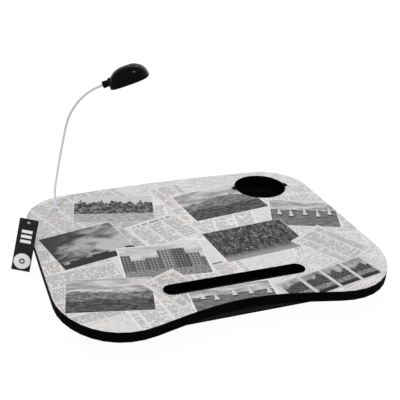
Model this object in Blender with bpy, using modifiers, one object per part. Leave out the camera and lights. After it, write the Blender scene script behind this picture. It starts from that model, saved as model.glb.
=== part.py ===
"""Cushioned lap tray with a cup well, a pen slot and a gooseneck reading lamp.

Metres, +Z up. The origin is on the surface that the cushion rests on, at the
tray's centre; +X is the sitter's right and +Y is away from the sitter.
"""
import math

import bmesh
import bpy
from mathutils import Matrix, Vector

# Heights and clearances
TRAY_HEIGHT = 0.0550
PRINT_THICKNESS = 0.0010
FOAM_THICKNESS = 0.0137
PANEL_THICKNESS = 0.0025
FABRIC_THICKNESS = 0.0010
CLEARANCE = 0.0003
CUT_OVERRUN = 0.0020
WELD_DISTANCE = 0.00001

# Board outline
BOARD_FRONT_HALF = 0.2384
BOARD_BACK_HALF = 0.2300
BOARD_DEPTH = 0.3873
BOARD_FRONT_RADIUS = 0.1079
BOARD_BACK_RADIUS = 0.0626
FRONT_DIP = 0.0368
FRONT_DIP_HALF = 0.2200
BACK_BOW = 0.0125
SIDE_BOW = 0.0020

# Cushion outline and swell, set back from the board's edges
CUSHION_SIDE_SETBACK = 0.0080
CUSHION_FRONT_SETBACK = 0.05565
CUSHION_BACK_SETBACK = 0.01015
CUSHION_FRONT_RADIUS = 0.0850
CUSHION_BACK_RADIUS = 0.0600
CUSHION_DRAW = 0.0040
CUSHION_DRAW_SPREAD = 0.68
CUSHION_BELLY = 0.0200
CUSHION_TOP_TUCK = 0.0060
CUSHION_BOTTOM_ROUND = 0.0220
CUSHION_SEAM = 0.0110
FLOOR_CUT = 0.0005
PANEL_INSET = 0.0030

# Cup well
CUP_SIDE_SETBACK = 0.0746
CUP_BACK_SETBACK = 0.04985
CUP_HOLE_RADIUS = 0.0427
CUP_WALL = 0.0015
CUP_TOP_DROP = 0.0004
CUP_DEPTH = 0.0285
CUP_TAPER_START = 0.0210
CUP_FLOOR_RADIUS = 0.0375
LUG_REACH = 0.0482
LUG_NOTCH_WIDTH = 0.0148
LUG_THICKNESS = 0.0030
LUG_TURN = -7.0

# Pen slot
SLOT_X = 0.0049
SLOT_FRONT_SETBACK = 0.08455
SLOT_LENGTH = 0.2059
SLOT_WIDTH = 0.0256

# Lamp socket and foot
LAMP_SIDE_SETBACK = 0.0460
LAMP_BACK_SETBACK = 0.03565
SOCKET_FLANGE_RADIUS = 0.0070
SOCKET_FLANGE_THICKNESS = 0.0012
SOCKET_BARREL_RADIUS = 0.0042
SOCKET_BORE_RADIUS = 0.0026
SOCKET_BORE_DEPTH = 0.0125
SOCKET_FLOOR = 0.0015
NUT_FLATS = 0.0120
NUT_THICKNESS = 0.0035
SLEEVE_HEIGHT = 0.0170
SLEEVE_BASE_RADIUS = 0.0036
SLEEVE_TOP_RADIUS = 0.0028
SLEEVE_BORE_DEPTH = 0.0080
FOOT_PIN_LENGTH = 0.0110

# Gooseneck
NECK_RADIUS = 0.0016
NECK_LENGTH = 0.2276
NECK_TURN = -20.0
NECK_JOINTS = 6
NECK_STEP = 0.0040
neck_lean_shares = ((0.0, 0.0), (0.08, 0.0), (0.20, 10.0), (0.61, 13.0), (0.80, 39.0), (1.0, 68.0))
round_end_shares = ((0.50, 0.866), (0.80, 0.60), (0.96, 0.28))

# Lamp head, along its own axes: +X to the nose, +Z through the roof
HEAD_LENGTH = 0.0588
HEAD_WIDTH = 0.0385
HEAD_HEIGHT = 0.0231
HEAD_WALL = 0.0016
HEAD_REAR = 0.0088
HEAD_UNDERSIDE = -0.0077
HEAD_PLAN_ROUNDNESS = 0.62
HEAD_ROOF_ROUNDNESS = 0.90
BOSS_RADIUS = 0.0052
BOSS_WAIST_RADIUS = 0.0049
BOSS_FLARE_RADIUS = 0.0070
BOSS_COLLAR = 0.0044
BOSS_ROUND = 0.0009
BOSS_LENGTH = 0.0130
BOSS_BORE_DEPTH = 0.0060
BASE_THICKNESS = 0.0014
LENS_RADIUS = 0.0107
LENS_THICKNESS = 0.0010
LENS_SETBACK = 0.0150
DOOR_LENGTH = 0.0212
DOOR_CORNER = 0.0025
CELL_SETBACK = 0.0180
CELL_RADIUS = 0.0100
CELL_THICKNESS = 0.0032
CONTACT_THICKNESS = 0.0004
CONTACT_LENGTH = 0.0120
CONTACT_WIDTH = 0.0080
BOARD_LENGTH = 0.0360
BOARD_WIDTH = 0.0180
BOARD_THICKNESS = 0.0012
REFLECTOR_WALL = 0.0008
REFLECTOR_TOP_RADIUS = 0.0040
LED_RADIUS = 0.0025
LED_HEIGHT = 0.0034
LED_FLANGE_RADIUS = 0.0031
LED_FLANGE_THICKNESS = 0.0008
BUTTON_SETBACK = 0.0160
BUTTON_RADIUS = 0.0047
BUTTON_PROUD = 0.0006
BUTTON_HEIGHT = 0.0034
BUTTON_TRAVEL = 0.0008
SWITCH_SIDE = 0.0062
SWITCH_FLOOR = 0.0004
PLUNGER_RADIUS = 0.0016

# Swing tag: it hangs on its pin, and its right edge rests on the board's rim
TAG_WIDTH = 0.0262
TAG_LENGTH = 0.0790
TAG_THICKNESS = 0.0006
TAG_TURN = -16.0
TAG_LEAN = 8.4
TAG_ROLL = 11.7
TAG_LIFT = 0.0160
TAG_TOUCH_SETBACK = 0.13965
TAG_HOLE_RADIUS = 0.0018
TAG_HOLE_MARGIN = 0.0055
PIN_RADIUS = 0.00045
PIN_BAR_RADIUS = 0.0006
PIN_BAR_LENGTH = 0.0052
PIN_ANCHOR_SETBACK = 0.09465
PIN_ANCHOR_DROP = 0.0080
PIN_ANCHOR_DEPTH = 0.0080
PIN_STAND_OFF = 0.0016
TAG_CORNER = 0.0006
PIN_LEAVE_SHARE = 0.6
pin_over_shares = (0.2, 0.5, 0.8)
pin_down_shares = (0.1, 0.5, 0.9)

# Facet counts
ARC_STEPS = 10
SIDE_STEPS = 6
FRONT_STEPS = 22
BACK_STEPS = 12
CUSHION_ARC_STEPS = 8
CUSHION_SIDE_STEPS = 8
HOLE_STEPS = 40
LUG_STEPS = 8
SMALL_STEPS = 20
TURN_STEPS = 48

# Places that follow from the board
BOARD_BACK = BOARD_DEPTH / 2
CUSHION_HALF = BOARD_BACK_HALF - CUSHION_SIDE_SETBACK
CUSHION_FRONT = BOARD_DEPTH / 2 - CUSHION_FRONT_SETBACK
CUSHION_BACK = BOARD_BACK + BACK_BOW - CUSHION_BACK_SETBACK
CUP_X = BOARD_BACK_HALF - CUP_SIDE_SETBACK
CUP_Y = BOARD_BACK - CUP_BACK_SETBACK
SLOT_Y = SLOT_FRONT_SETBACK - BOARD_DEPTH / 2
LAMP_X = LAMP_SIDE_SETBACK - BOARD_BACK_HALF
LAMP_Y = BOARD_BACK - LAMP_BACK_SETBACK
TAG_TOUCH_Y = BOARD_BACK - TAG_TOUCH_SETBACK
PIN_ANCHOR_Y = BOARD_BACK - PIN_ANCHOR_SETBACK

# Heights that follow from the stack
PRINT_LOW = TRAY_HEIGHT - PRINT_THICKNESS
FOAM_HIGH = PRINT_LOW - CLEARANCE
FOAM_LOW = FOAM_HIGH - FOAM_THICKNESS
PANEL_HIGH = FOAM_LOW - CLEARANCE
PANEL_LOW = PANEL_HIGH - PANEL_THICKNESS
COVER_HIGH = PANEL_LOW - CLEARANCE
COVER_LOW = COVER_HIGH - FABRIC_THICKNESS
BAND_HIGH = COVER_LOW - CLEARANCE
CUP_HIGH = TRAY_HEIGHT - CUP_TOP_DROP
CUP_LOW = CUP_HIGH - CUP_DEPTH
CUP_RADIUS = CUP_HOLE_RADIUS - CLEARANCE
SOCKET_HIGH = TRAY_HEIGHT + CLEARANCE + SOCKET_FLANGE_THICKNESS
NUT_HIGH = PANEL_LOW - CLEARANCE
NUT_LOW = NUT_HIGH - NUT_THICKNESS
SOCKET_LOW = NUT_LOW
NUT_CORNER = NUT_FLATS / 2 / math.cos(math.pi / 6)
NUT_POCKET_RADIUS = NUT_CORNER + 2 * CLEARANCE
POCKET_LOW = NUT_LOW - CLEARANCE
NECK_BORE_RADIUS = NECK_RADIUS + CLEARANCE
HEAD_MIDDLE = HEAD_REAR + HEAD_LENGTH / 2
BASE_HIGH = HEAD_UNDERSIDE + BASE_THICKNESS
SHELL_LOW = BASE_HIGH + CLEARANCE
LENS_X = HEAD_REAR + HEAD_LENGTH - LENS_SETBACK
CELL_X = HEAD_REAR + CELL_SETBACK
BUTTON_X = HEAD_REAR + HEAD_LENGTH - BUTTON_SETBACK
CELL_PITCH = CELL_THICKNESS + CLEARANCE
CELLS_HIGH = SHELL_LOW + CELL_PITCH + CELL_THICKNESS
CONTACT_LOW = CELLS_HIGH + CLEARANCE
CONTACT_HIGH = CONTACT_LOW + CONTACT_THICKNESS
BOARD_LOW = CONTACT_HIGH + CLEARANCE
BOARD_HIGH = BOARD_LOW + BOARD_THICKNESS
SWITCH_LOW = BOARD_HIGH + CLEARANCE


def clear_scene():
    for obj in list(bpy.data.objects):
        bpy.data.objects.remove(obj, do_unlink=True)


def new_collection(name):
    made = bpy.data.collections.new(name)
    bpy.context.scene.collection.children.link(made)
    return made


def material(name, color, roughness, metallic=0.0, alpha=1.0):
    made = bpy.data.materials.new(name)
    made.use_nodes = True
    shader = made.node_tree.nodes["Principled BSDF"]
    shader.inputs["Base Color"].default_value = (*color, 1.0)
    shader.inputs["Roughness"].default_value = roughness
    shader.inputs["Metallic"].default_value = metallic
    shader.inputs["Alpha"].default_value = alpha
    made.diffuse_color = (*color, alpha)
    return made


def weld(mesh):
    """Join coincident points and turn every face outwards."""
    bm = bmesh.new()
    bm.from_mesh(mesh)
    bmesh.ops.remove_doubles(bm, verts=bm.verts, dist=WELD_DISTANCE)
    bmesh.ops.recalc_face_normals(bm, faces=bm.faces)
    bm.to_mesh(mesh)
    bm.free()


def place(name, data, look=None, parent=None, where=None):
    """Link a new object; without a look it is a cutter."""
    obj = bpy.data.objects.new(name, data)
    (PARTS if look else CUTTERS).objects.link(obj)
    if look:
        obj.data.materials.append(look)
    else:
        obj.hide_render = True
        obj.display_type = "WIRE"
    if parent:
        obj.parent = parent
    if where:
        obj.location = where
    return obj


def smooth(obj, angle=35.0):
    obj.data.shade_smooth()
    obj.data.set_sharp_from_angle(angle=math.radians(angle))
    return obj


def solid_from_curve(curve, name, look, parent=None):
    """Turn a curve object into a welded mesh object and drop the curve."""
    bpy.context.view_layer.update()
    graph = bpy.context.evaluated_depsgraph_get()
    mesh = bpy.data.meshes.new_from_object(curve.evaluated_get(graph))
    mesh.materials.clear()
    weld(mesh)
    obj = place(name, mesh, look, parent)
    obj.location = curve.location
    bpy.data.objects.remove(curve, do_unlink=True)
    return obj


def plate(name, outlines, low, high, look=None, parent=None):
    """A flat plate between two heights; outlines after the first are holes."""
    data = bpy.data.curves.new(name, "CURVE")
    data.dimensions = "2D"
    data.fill_mode = "BOTH"
    data.extrude = (high - low) / 2
    for outline in outlines:
        spline = data.splines.new("POLY")
        spline.points.add(len(outline) - 1)
        for point, (x, y) in zip(spline.points, outline):
            point.co = (x, y, 0.0, 1.0)
        spline.use_cyclic_u = True
    curve = bpy.data.objects.new(name + "_curve", data)
    CUTTERS.objects.link(curve)
    curve.location = (0.0, 0.0, (low + high) / 2)
    return solid_from_curve(curve, name, look, parent)


def tube(name, points, radius, look=None, shares=None, sides=2):
    """A round bar along points; shares are each point's part of the radius."""
    data = bpy.data.curves.new(name, "CURVE")
    data.dimensions = "3D"
    data.bevel_depth = radius
    data.bevel_resolution = sides
    data.use_fill_caps = True
    spline = data.splines.new("POLY")
    spline.points.add(len(points) - 1)
    for index, (point, co) in enumerate(zip(spline.points, points)):
        point.co = (*co, 1.0)
        point.radius = shares[index] if shares else 1.0
    curve = bpy.data.objects.new(name + "_curve", data)
    CUTTERS.objects.link(curve)
    return smooth(solid_from_curve(curve, name, look), 60.0)


def turned(name, profile, look=None, parent=None, where=None, steps=TURN_STEPS, ring=False):
    """A turned solid from (radius, height) points, down its outer side."""
    mesh = bpy.data.meshes.new(name)
    points = [(radius, 0.0, height) for radius, height in profile]
    edges = [(i, i + 1) for i in range(len(points) - 1)]
    if ring:
        edges.append((len(points) - 1, 0))
    mesh.from_pydata(points, edges, [])
    obj = place(name, mesh, look, parent, where)
    screw = obj.modifiers.new("turn", "SCREW")
    screw.axis = "Z"
    screw.angle = 2 * math.pi
    screw.steps = steps
    screw.render_steps = steps
    screw.use_merge_vertices = True
    screw.merge_threshold = WELD_DISTANCE
    screw.use_smooth_shade = False
    return obj


def block(name, size, centre, look=None, parent=None, bevel=None):
    """A box of a given size with softened edges."""
    mesh = bpy.data.meshes.new(name)
    bm = bmesh.new()
    bmesh.ops.create_cube(bm, size=1.0, matrix=Matrix.Diagonal((*size, 1.0)))
    bm.to_mesh(mesh)
    bm.free()
    obj = place(name, mesh, look, parent, centre)
    if bevel:
        soft = obj.modifiers.new("soften", "BEVEL")
        soft.width = bevel
        soft.segments = 2
    return obj


def rod(name, radius, length, centre, turn=None, look=None, parent=None, steps=SMALL_STEPS):
    """A plain cylinder centred on a point; turn is its rotation."""
    mesh = bpy.data.meshes.new(name)
    bm = bmesh.new()
    bmesh.ops.create_cone(bm, cap_ends=True, segments=steps, radius1=radius, radius2=radius, depth=length)
    bm.to_mesh(mesh)
    bm.free()
    obj = place(name, mesh, look, parent, centre)
    if turn:
        obj.rotation_euler = turn
    return obj


def loft(name, rings, look=None, closed=False):
    """Skin equal rings in order; closed joins the last ring to the first."""
    bm = bmesh.new()
    rows = [[bm.verts.new(point) for point in ring] for ring in rings]
    count = len(rows[0])
    pairs = list(zip(rows, rows[1:]))
    if closed:
        pairs.append((rows[-1], rows[0]))
    for upper, lower in pairs:
        for i in range(count):
            j = (i + 1) % count
            bm.faces.new((upper[i], upper[j], lower[j], lower[i]))
    if not closed:
        bm.faces.new(rows[0])
        bm.faces.new(list(reversed(rows[-1])))
    mesh = bpy.data.meshes.new(name)
    bmesh.ops.recalc_face_normals(bm, faces=bm.faces)
    bm.to_mesh(mesh)
    bm.free()
    return smooth(place(name, mesh, look))


def boolean(obj, other, operation="DIFFERENCE"):
    step = obj.modifiers.new(operation.lower(), "BOOLEAN")
    step.operation = operation
    step.object = other
    return obj


def circle(x, y, radius, steps=HOLE_STEPS):
    turns = [2 * math.pi * i / steps for i in range(steps)]
    return [(x + radius * math.cos(a), y + radius * math.sin(a)) for a in turns]


def stadium(x, y, length, width):
    """A slot outline with round ends, along X."""
    reach = length / 2 - width / 2
    points = []
    for side, start in ((1, -90.0), (-1, 90.0)):
        for i in range(ARC_STEPS + 1):
            a = math.radians(start + 180.0 * i / ARC_STEPS)
            points.append((x + side * reach + width / 2 * math.cos(a), y + width / 2 * math.sin(a)))
    return points


def rounded_box(x, y, length, width, radius, steps=4):
    """A rectangle with round corners."""
    points = []
    for quarter, (sx, sy) in enumerate(((1, 1), (-1, 1), (-1, -1), (1, -1))):
        for i in range(steps + 1):
            a = math.radians(90.0 * quarter + 90.0 * i / steps)
            cx = x + sx * (length / 2 - radius)
            cy = y + sy * (width / 2 - radius)
            points.append((cx + radius * math.cos(a), cy + radius * math.sin(a)))
    return points


def notch_round():
    """Where a notch's arc has its middle, its radius, and half its span in degrees."""
    half_width = LUG_NOTCH_WIDTH / 2
    root = math.sqrt(CUP_HOLE_RADIUS ** 2 - half_width ** 2)
    middle = (LUG_REACH ** 2 - CUP_HOLE_RADIUS ** 2) / (2 * (LUG_REACH - root))
    return middle, LUG_REACH - middle, math.degrees(math.atan2(half_width, root - middle))


def lug_arc(x, y, radius, turn, half_span):
    """The round end of a lug or notch, with its middle towards turn."""
    turns = [math.radians(turn + half_span * (2 * i / LUG_STEPS - 1)) for i in range(LUG_STEPS + 1)]
    return [(x + radius * math.cos(a), y + radius * math.sin(a)) for a in turns]


def cup_hole():
    """The cup hole: a circle with a rounded notch on each side."""
    points = []
    half_angle = math.degrees(math.asin(LUG_NOTCH_WIDTH / 2 / CUP_HOLE_RADIUS))
    middle, radius, half_span = notch_round()
    for turn in (LUG_TURN, LUG_TURN + 180.0):
        a = math.radians(turn)
        points.extend(lug_arc(CUP_X + middle * math.cos(a), CUP_Y + middle * math.sin(a), radius, turn, half_span))
        sweep = 180.0 - 2 * half_angle
        for i in range(1, HOLE_STEPS // 2):
            b = a + math.radians(half_angle + sweep * i / (HOLE_STEPS // 2))
            points.append((CUP_X + CUP_HOLE_RADIUS * math.cos(b), CUP_Y + CUP_HOLE_RADIUS * math.sin(b)))
    return points


def corner_arc(corner, before, after, radius, steps):
    """Points of the arc that rounds a corner between two neighbours."""
    corner, before, after = Vector(corner), Vector(before), Vector(after)
    u = (before - corner).normalized()
    v = (after - corner).normalized()
    half = u.angle(v) / 2
    centre = corner + (u + v).normalized() * (radius / math.sin(half))
    start = corner + u * (radius / math.tan(half)) - centre
    end = corner + v * (radius / math.tan(half)) - centre
    first = math.atan2(start.y, start.x)
    sweep = math.atan2(end.y, end.x) - first
    sweep = (sweep + math.pi) % (2 * math.pi) - math.pi
    angles = [first + sweep * i / steps for i in range(steps + 1)]
    return [centre + radius * Vector((math.cos(a), math.sin(a))) for a in angles]


def round_trapezoid(front_half, back_half, front, back, front_radius, back_radius, counts):
    """Anticlockwise outline from the front left corner, evenly filled."""
    corners = ((-front_half, -front), (front_half, -front), (back_half, back), (-back_half, back))
    radii = (front_radius, front_radius, back_radius, back_radius)
    arc_steps, front_steps, side_steps, back_steps = counts
    fills = (front_steps, side_steps, back_steps, side_steps)
    arcs = [corner_arc(corners[i], corners[i - 1], corners[(i + 1) % 4], radii[i], arc_steps) for i in range(4)]
    points = []
    for i in range(4):
        points.extend(arcs[i])
        a, b = arcs[i][-1], arcs[(i + 1) % 4][0]
        points.extend(a.lerp(b, j / fills[i]) for j in range(1, fills[i]))
    return points


def board_edge(x, y):
    """Bend a point of the plain outline: front dip, bowed back and sides."""
    along = y / (BOARD_DEPTH / 2)
    if y < 0 and abs(x) < FRONT_DIP_HALF:
        y += FRONT_DIP * 0.5 * (1 + math.cos(math.pi * x / FRONT_DIP_HALF))
    if along > 0:
        y += BACK_BOW * (1 - (x / BOARD_BACK_HALF) ** 2) * min(along, 1.0) ** 4
    side = min(abs(x) / BOARD_FRONT_HALF, 1.0) ** 4
    x += math.copysign(SIDE_BOW * (1 - min(abs(along), 1.0) ** 2) * side, x)
    return x, y


def board_outline():
    half = BOARD_DEPTH / 2
    counts = (ARC_STEPS, FRONT_STEPS, SIDE_STEPS, BACK_STEPS)
    plain = round_trapezoid(BOARD_FRONT_HALF, BOARD_BACK_HALF, half, half,
                            BOARD_FRONT_RADIUS, BOARD_BACK_RADIUS, counts)
    return [board_edge(p.x, p.y) for p in plain]


def board_half_width(y):
    """Half the board's width at a place along its straight side."""
    along = (y + BOARD_DEPTH / 2) / BOARD_DEPTH
    half = BOARD_FRONT_HALF + (BOARD_BACK_HALF - BOARD_FRONT_HALF) * along
    return board_edge(half, y)[0]


def cushion_outline(inset):
    """The cushion's outline, drawn in between its corners."""
    counts = (CUSHION_ARC_STEPS, CUSHION_SIDE_STEPS, CUSHION_SIDE_STEPS, CUSHION_SIDE_STEPS)
    plain = round_trapezoid(CUSHION_HALF - inset, CUSHION_HALF - inset,
                            CUSHION_FRONT - inset, CUSHION_BACK - inset,
                            CUSHION_FRONT_RADIUS - inset, CUSHION_BACK_RADIUS - inset, counts)
    points = []
    for p in plain:
        across = max(0.0, 1 - (p.x / (CUSHION_DRAW_SPREAD * CUSHION_HALF)) ** 2) ** 2
        along = max(0.0, 1 - (p.y / (CUSHION_DRAW_SPREAD * CUSHION_BACK)) ** 2) ** 2
        end = (abs(p.y) / CUSHION_BACK) ** 4
        side = (abs(p.x) / CUSHION_HALF) ** 4
        points.append((p.x - math.copysign(CUSHION_DRAW * along * side, p.x),
                       p.y - math.copysign(CUSHION_DRAW * across * end, p.y)))
    return points


def cushion_ring(layer, angle):
    """One ring of the swollen side, a layer inside its outer face.

    The angle is 90 at the top seam, 0 at the belly and -90 at the underside.
    """
    a = math.radians(angle)
    if angle > 0:
        round_over = CUSHION_TOP_TUCK
        z = CUSHION_BELLY + (BAND_HIGH - CUSHION_BELLY) * math.sin(a)
    else:
        round_over = CUSHION_BOTTOM_ROUND
        z = CUSHION_BELLY + (CUSHION_BELLY + FLOOR_CUT - layer) * math.sin(a)
    inset = round_over - (round_over - layer) * math.cos(a)
    return [(x, y, z) for x, y in cushion_outline(inset)]


def seam_angle(height, layer):
    return -math.degrees(math.asin((CUSHION_BELLY - height) / (CUSHION_BELLY + FLOOR_CUT - layer)))


def spread(first, last, steps):
    return [first + (last - first) * i / steps for i in range(steps + 1)]


def neck_lean(share):
    """The gooseneck's lean off the vertical, in degrees, at a share of its length."""
    for (s0, a0), (s1, a1) in zip(neck_lean_shares, neck_lean_shares[1:]):
        if share <= s1:
            return a0 + (a1 - a0) * (share - s0) / (s1 - s0)
    return neck_lean_shares[-1][1]


def neck_direction(length):
    a = math.radians(neck_lean(length / NECK_LENGTH))
    turn = math.radians(NECK_TURN)
    return Vector((math.sin(a) * math.cos(turn), math.sin(a) * math.sin(turn), math.cos(a)))


def neck_point(length):
    """A point on the gooseneck's axis, measured along it from the board's top."""
    point = Vector((LAMP_X, LAMP_Y, TRAY_HEIGHT))
    count = max(1, math.ceil(length / NECK_STEP))
    step = length / count
    for i in range(count):
        point = point + neck_direction((i + 0.5) * step) * step
    return point


def neck_station(index):
    """Where the gooseneck's bending joints are, along it."""
    return SLEEVE_HEIGHT + index * (NECK_LENGTH - SLEEVE_HEIGHT) / (NECK_JOINTS + 1)


def joint_mark(name, where, matrix=None):
    """An empty on a joint's axis, which the moving pieces hang from."""
    mark = bpy.data.objects.new(name, None)
    MARKS.objects.link(mark)
    mark.matrix_world = Matrix.Translation(where) @ (matrix or Matrix.Identity(4))
    return mark


def head_matrix():
    """The lamp head's axes: X along the neck's end, Z through its roof."""
    x = neck_direction(NECK_LENGTH)
    y = Vector((-math.sin(math.radians(NECK_TURN)), math.cos(math.radians(NECK_TURN)), 0.0))
    z = x.cross(y)
    return Matrix((x, y, z)).transposed().to_4x4()


def hang(obj, mark):
    """Parent an object that is already in place to a joint's empty."""
    bpy.context.view_layer.update()
    obj.parent = mark
    obj.matrix_parent_inverse = mark.matrix_world.inverted()


def make_board():
    holes = [cup_hole(),
             stadium(SLOT_X, SLOT_Y, SLOT_LENGTH, SLOT_WIDTH),
             circle(LAMP_X, LAMP_Y, SOCKET_BARREL_RADIUS + CLEARANCE, SMALL_STEPS)]
    plate("print_sheet", [board_outline()] + holes, PRINT_LOW, TRAY_HEIGHT, LOOKS["print"])
    foam = plate("foam_board", [board_outline()] + holes, FOAM_LOW, FOAM_HIGH, LOOKS["foam"])
    depth = PIN_ANCHOR_DEPTH + CUT_OVERRUN
    edge = -board_half_width(PIN_ANCHOR_Y)
    middle = (edge + PIN_ANCHOR_DEPTH / 2 - CUT_OVERRUN / 2, PIN_ANCHOR_Y, TRAY_HEIGHT - PIN_ANCHOR_DROP)
    bore = rod("tag_anchor_bore", PIN_RADIUS + CLEARANCE, depth, middle, (0.0, math.pi / 2, 0.0), steps=8)
    boolean(foam, bore)
    return foam


def make_base_panel():
    holes = [circle(CUP_X, CUP_Y, CUP_HOLE_RADIUS),
             circle(LAMP_X, LAMP_Y, SOCKET_BARREL_RADIUS + CLEARANCE, SMALL_STEPS)]
    plate("base_panel", [cushion_outline(PANEL_INSET)] + holes, PANEL_LOW, PANEL_HIGH, LOOKS["panel"])


def make_cushion():
    outline = cushion_outline(CUSHION_TOP_TUCK)
    holes = [circle(CUP_X, CUP_Y, CUP_HOLE_RADIUS), circle(LAMP_X, LAMP_Y, NUT_POCKET_RADIUS, SMALL_STEPS)]
    plate("cushion_top_panel", [outline] + holes, COVER_LOW, COVER_HIGH, LOOKS["fabric"])

    seam = CUSHION_SEAM + CLEARANCE
    band_angles = spread(90.0, 0.0, 4) + spread(0.0, seam_angle(seam, 0.0), 2)[1:]
    lining_angles = spread(90.0, 0.0, 4) + spread(0.0, seam_angle(seam, FABRIC_THICKNESS), 2)[1:]
    rings = [cushion_ring(0.0, a) for a in band_angles]
    rings += [cushion_ring(FABRIC_THICKNESS, a) for a in reversed(lining_angles)]
    loft("cushion_side_band", rings, LOOKS["fabric"], closed=True)

    outer = spread(seam_angle(CUSHION_SEAM, 0.0), -90.0, 5)
    inner = spread(-90.0, seam_angle(CUSHION_SEAM, FABRIC_THICKNESS), 5)
    rings = [cushion_ring(FABRIC_THICKNESS, a) for a in inner] + [cushion_ring(0.0, a) for a in outer]
    bottom = loft("cushion_bottom_panel", rings, LOOKS["fabric"])
    slab = 2 * CUSHION_BACK + 2 * CUSHION_HALF
    cutter = block("floor_cutter", (slab, slab, 2 * CUSHION_BELLY), (0.0, 0.0, -CUSHION_BELLY))
    boolean(bottom, cutter)

    layer = FABRIC_THICKNESS + CLEARANCE
    rings = [cushion_ring(layer, a) for a in spread(90.0, 0.0, 4) + spread(0.0, -90.0, 6)[1:]]
    rings[0] = [(x, y, BAND_HIGH - CLEARANCE) for x, y, z in rings[0]]
    fill = loft("bead_fill", rings, LOOKS["beads"])
    cup_profile = [(0.0, BAND_HIGH + CUT_OVERRUN), (CUP_HOLE_RADIUS, BAND_HIGH + CUT_OVERRUN),
                   (CUP_HOLE_RADIUS, CUP_HIGH - CUP_TAPER_START),
                   (CUP_FLOOR_RADIUS + CLEARANCE, CUP_LOW - CLEARANCE), (0.0, CUP_LOW - CLEARANCE)]
    boolean(fill, turned("cup_pocket", cup_profile, where=(CUP_X, CUP_Y, 0.0)))
    pocket_height = BAND_HIGH + CUT_OVERRUN - POCKET_LOW
    pocket = rod("nut_pocket", NUT_POCKET_RADIUS, pocket_height, (LAMP_X, LAMP_Y, POCKET_LOW + pocket_height / 2))
    boolean(fill, pocket)


def make_cup():
    """The lift-out cup well, with a lug on each side that drops in a notch."""
    inner = CUP_RADIUS - CUP_WALL
    taper = CUP_HIGH - CUP_TAPER_START
    profile = [(0.0, CUP_LOW + CUP_WALL), (CUP_FLOOR_RADIUS - CUP_WALL, CUP_LOW + CUP_WALL),
               (inner, taper), (inner, CUP_HIGH), (CUP_RADIUS, CUP_HIGH), (CUP_RADIUS, taper),
               (CUP_FLOOR_RADIUS, CUP_LOW), (0.0, CUP_LOW)]
    cup = turned("cup_insert", profile, LOOKS["plastic"], where=(CUP_X, CUP_Y, 0.0))
    middle, radius, half_span = notch_round()
    root = CUP_RADIUS - CUP_WALL / 2
    half_width = LUG_NOTCH_WIDTH / 2 - CLEARANCE
    side_x = math.sqrt(root ** 2 - half_width ** 2)
    bar = [(root, 0.0), (side_x, -half_width)] + lug_arc(middle, 0.0, radius - CLEARANCE, 0.0, half_span)
    bar.append((side_x, half_width))
    for side in range(2):
        lug = plate("lug_%d" % side, [bar], CUP_HIGH - LUG_THICKNESS, CUP_HIGH)
        lug.location.x = CUP_X
        lug.location.y = CUP_Y
        lug.rotation_euler = (0.0, 0.0, math.radians(LUG_TURN + 180.0 * side))
        boolean(cup, lug, "UNION")
    mark = joint_mark("cup_lift", Vector((CUP_X, CUP_Y, CUP_LOW)))
    hang(cup, mark)


def make_socket():
    flange = TRAY_HEIGHT + CLEARANCE
    floor = SOCKET_HIGH - SOCKET_BORE_DEPTH
    profile = [(0.0, floor), (SOCKET_BORE_RADIUS, floor), (SOCKET_BORE_RADIUS, SOCKET_HIGH),
               (SOCKET_FLANGE_RADIUS - SOCKET_FLANGE_THICKNESS / 2, SOCKET_HIGH),
               (SOCKET_FLANGE_RADIUS, SOCKET_HIGH - SOCKET_FLANGE_THICKNESS / 2),
               (SOCKET_FLANGE_RADIUS, flange), (SOCKET_BARREL_RADIUS, flange),
               (SOCKET_BARREL_RADIUS, SOCKET_LOW), (0.0, SOCKET_LOW)]
    turned("lamp_socket", profile, LOOKS["metal"], where=(LAMP_X, LAMP_Y, 0.0), steps=32)
    hexagon = circle(LAMP_X, LAMP_Y, NUT_CORNER, 6)
    hole = circle(LAMP_X, LAMP_Y, SOCKET_BARREL_RADIUS + CLEARANCE, SMALL_STEPS)
    plate("socket_nut", [hexagon, hole], NUT_LOW, NUT_HIGH, LOOKS["metal"])


def make_foot(mark):
    low = SOCKET_HIGH + CLEARANCE
    high = TRAY_HEIGHT + SLEEVE_HEIGHT
    pin = SOCKET_BORE_RADIUS - CLEARANCE
    profile = [(0.0, high - SLEEVE_BORE_DEPTH), (NECK_BORE_RADIUS, high - SLEEVE_BORE_DEPTH),
               (NECK_BORE_RADIUS, high), (SLEEVE_TOP_RADIUS, high), (SLEEVE_BASE_RADIUS, low),
               (pin, low), (pin, low - FOOT_PIN_LENGTH), (0.0, low - FOOT_PIN_LENGTH)]
    foot = turned("lamp_foot", profile, LOOKS["pale"], where=(LAMP_X, LAMP_Y, 0.0), steps=24)
    hang(foot, mark)


def neck_tube(name, start, end, rounded):
    """A length of gooseneck; a rounded end is centred on the next joint."""
    count = max(2, math.ceil((end - start) / NECK_STEP))
    lengths = spread(start, end, count)
    shares = [1.0] * len(lengths)
    if rounded:
        lengths += [end + NECK_RADIUS * reach for reach, width in round_end_shares]
        shares += [width for reach, width in round_end_shares]
    return tube(name, [neck_point(s) for s in lengths], NECK_RADIUS, LOOKS["neck"], shares)


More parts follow.
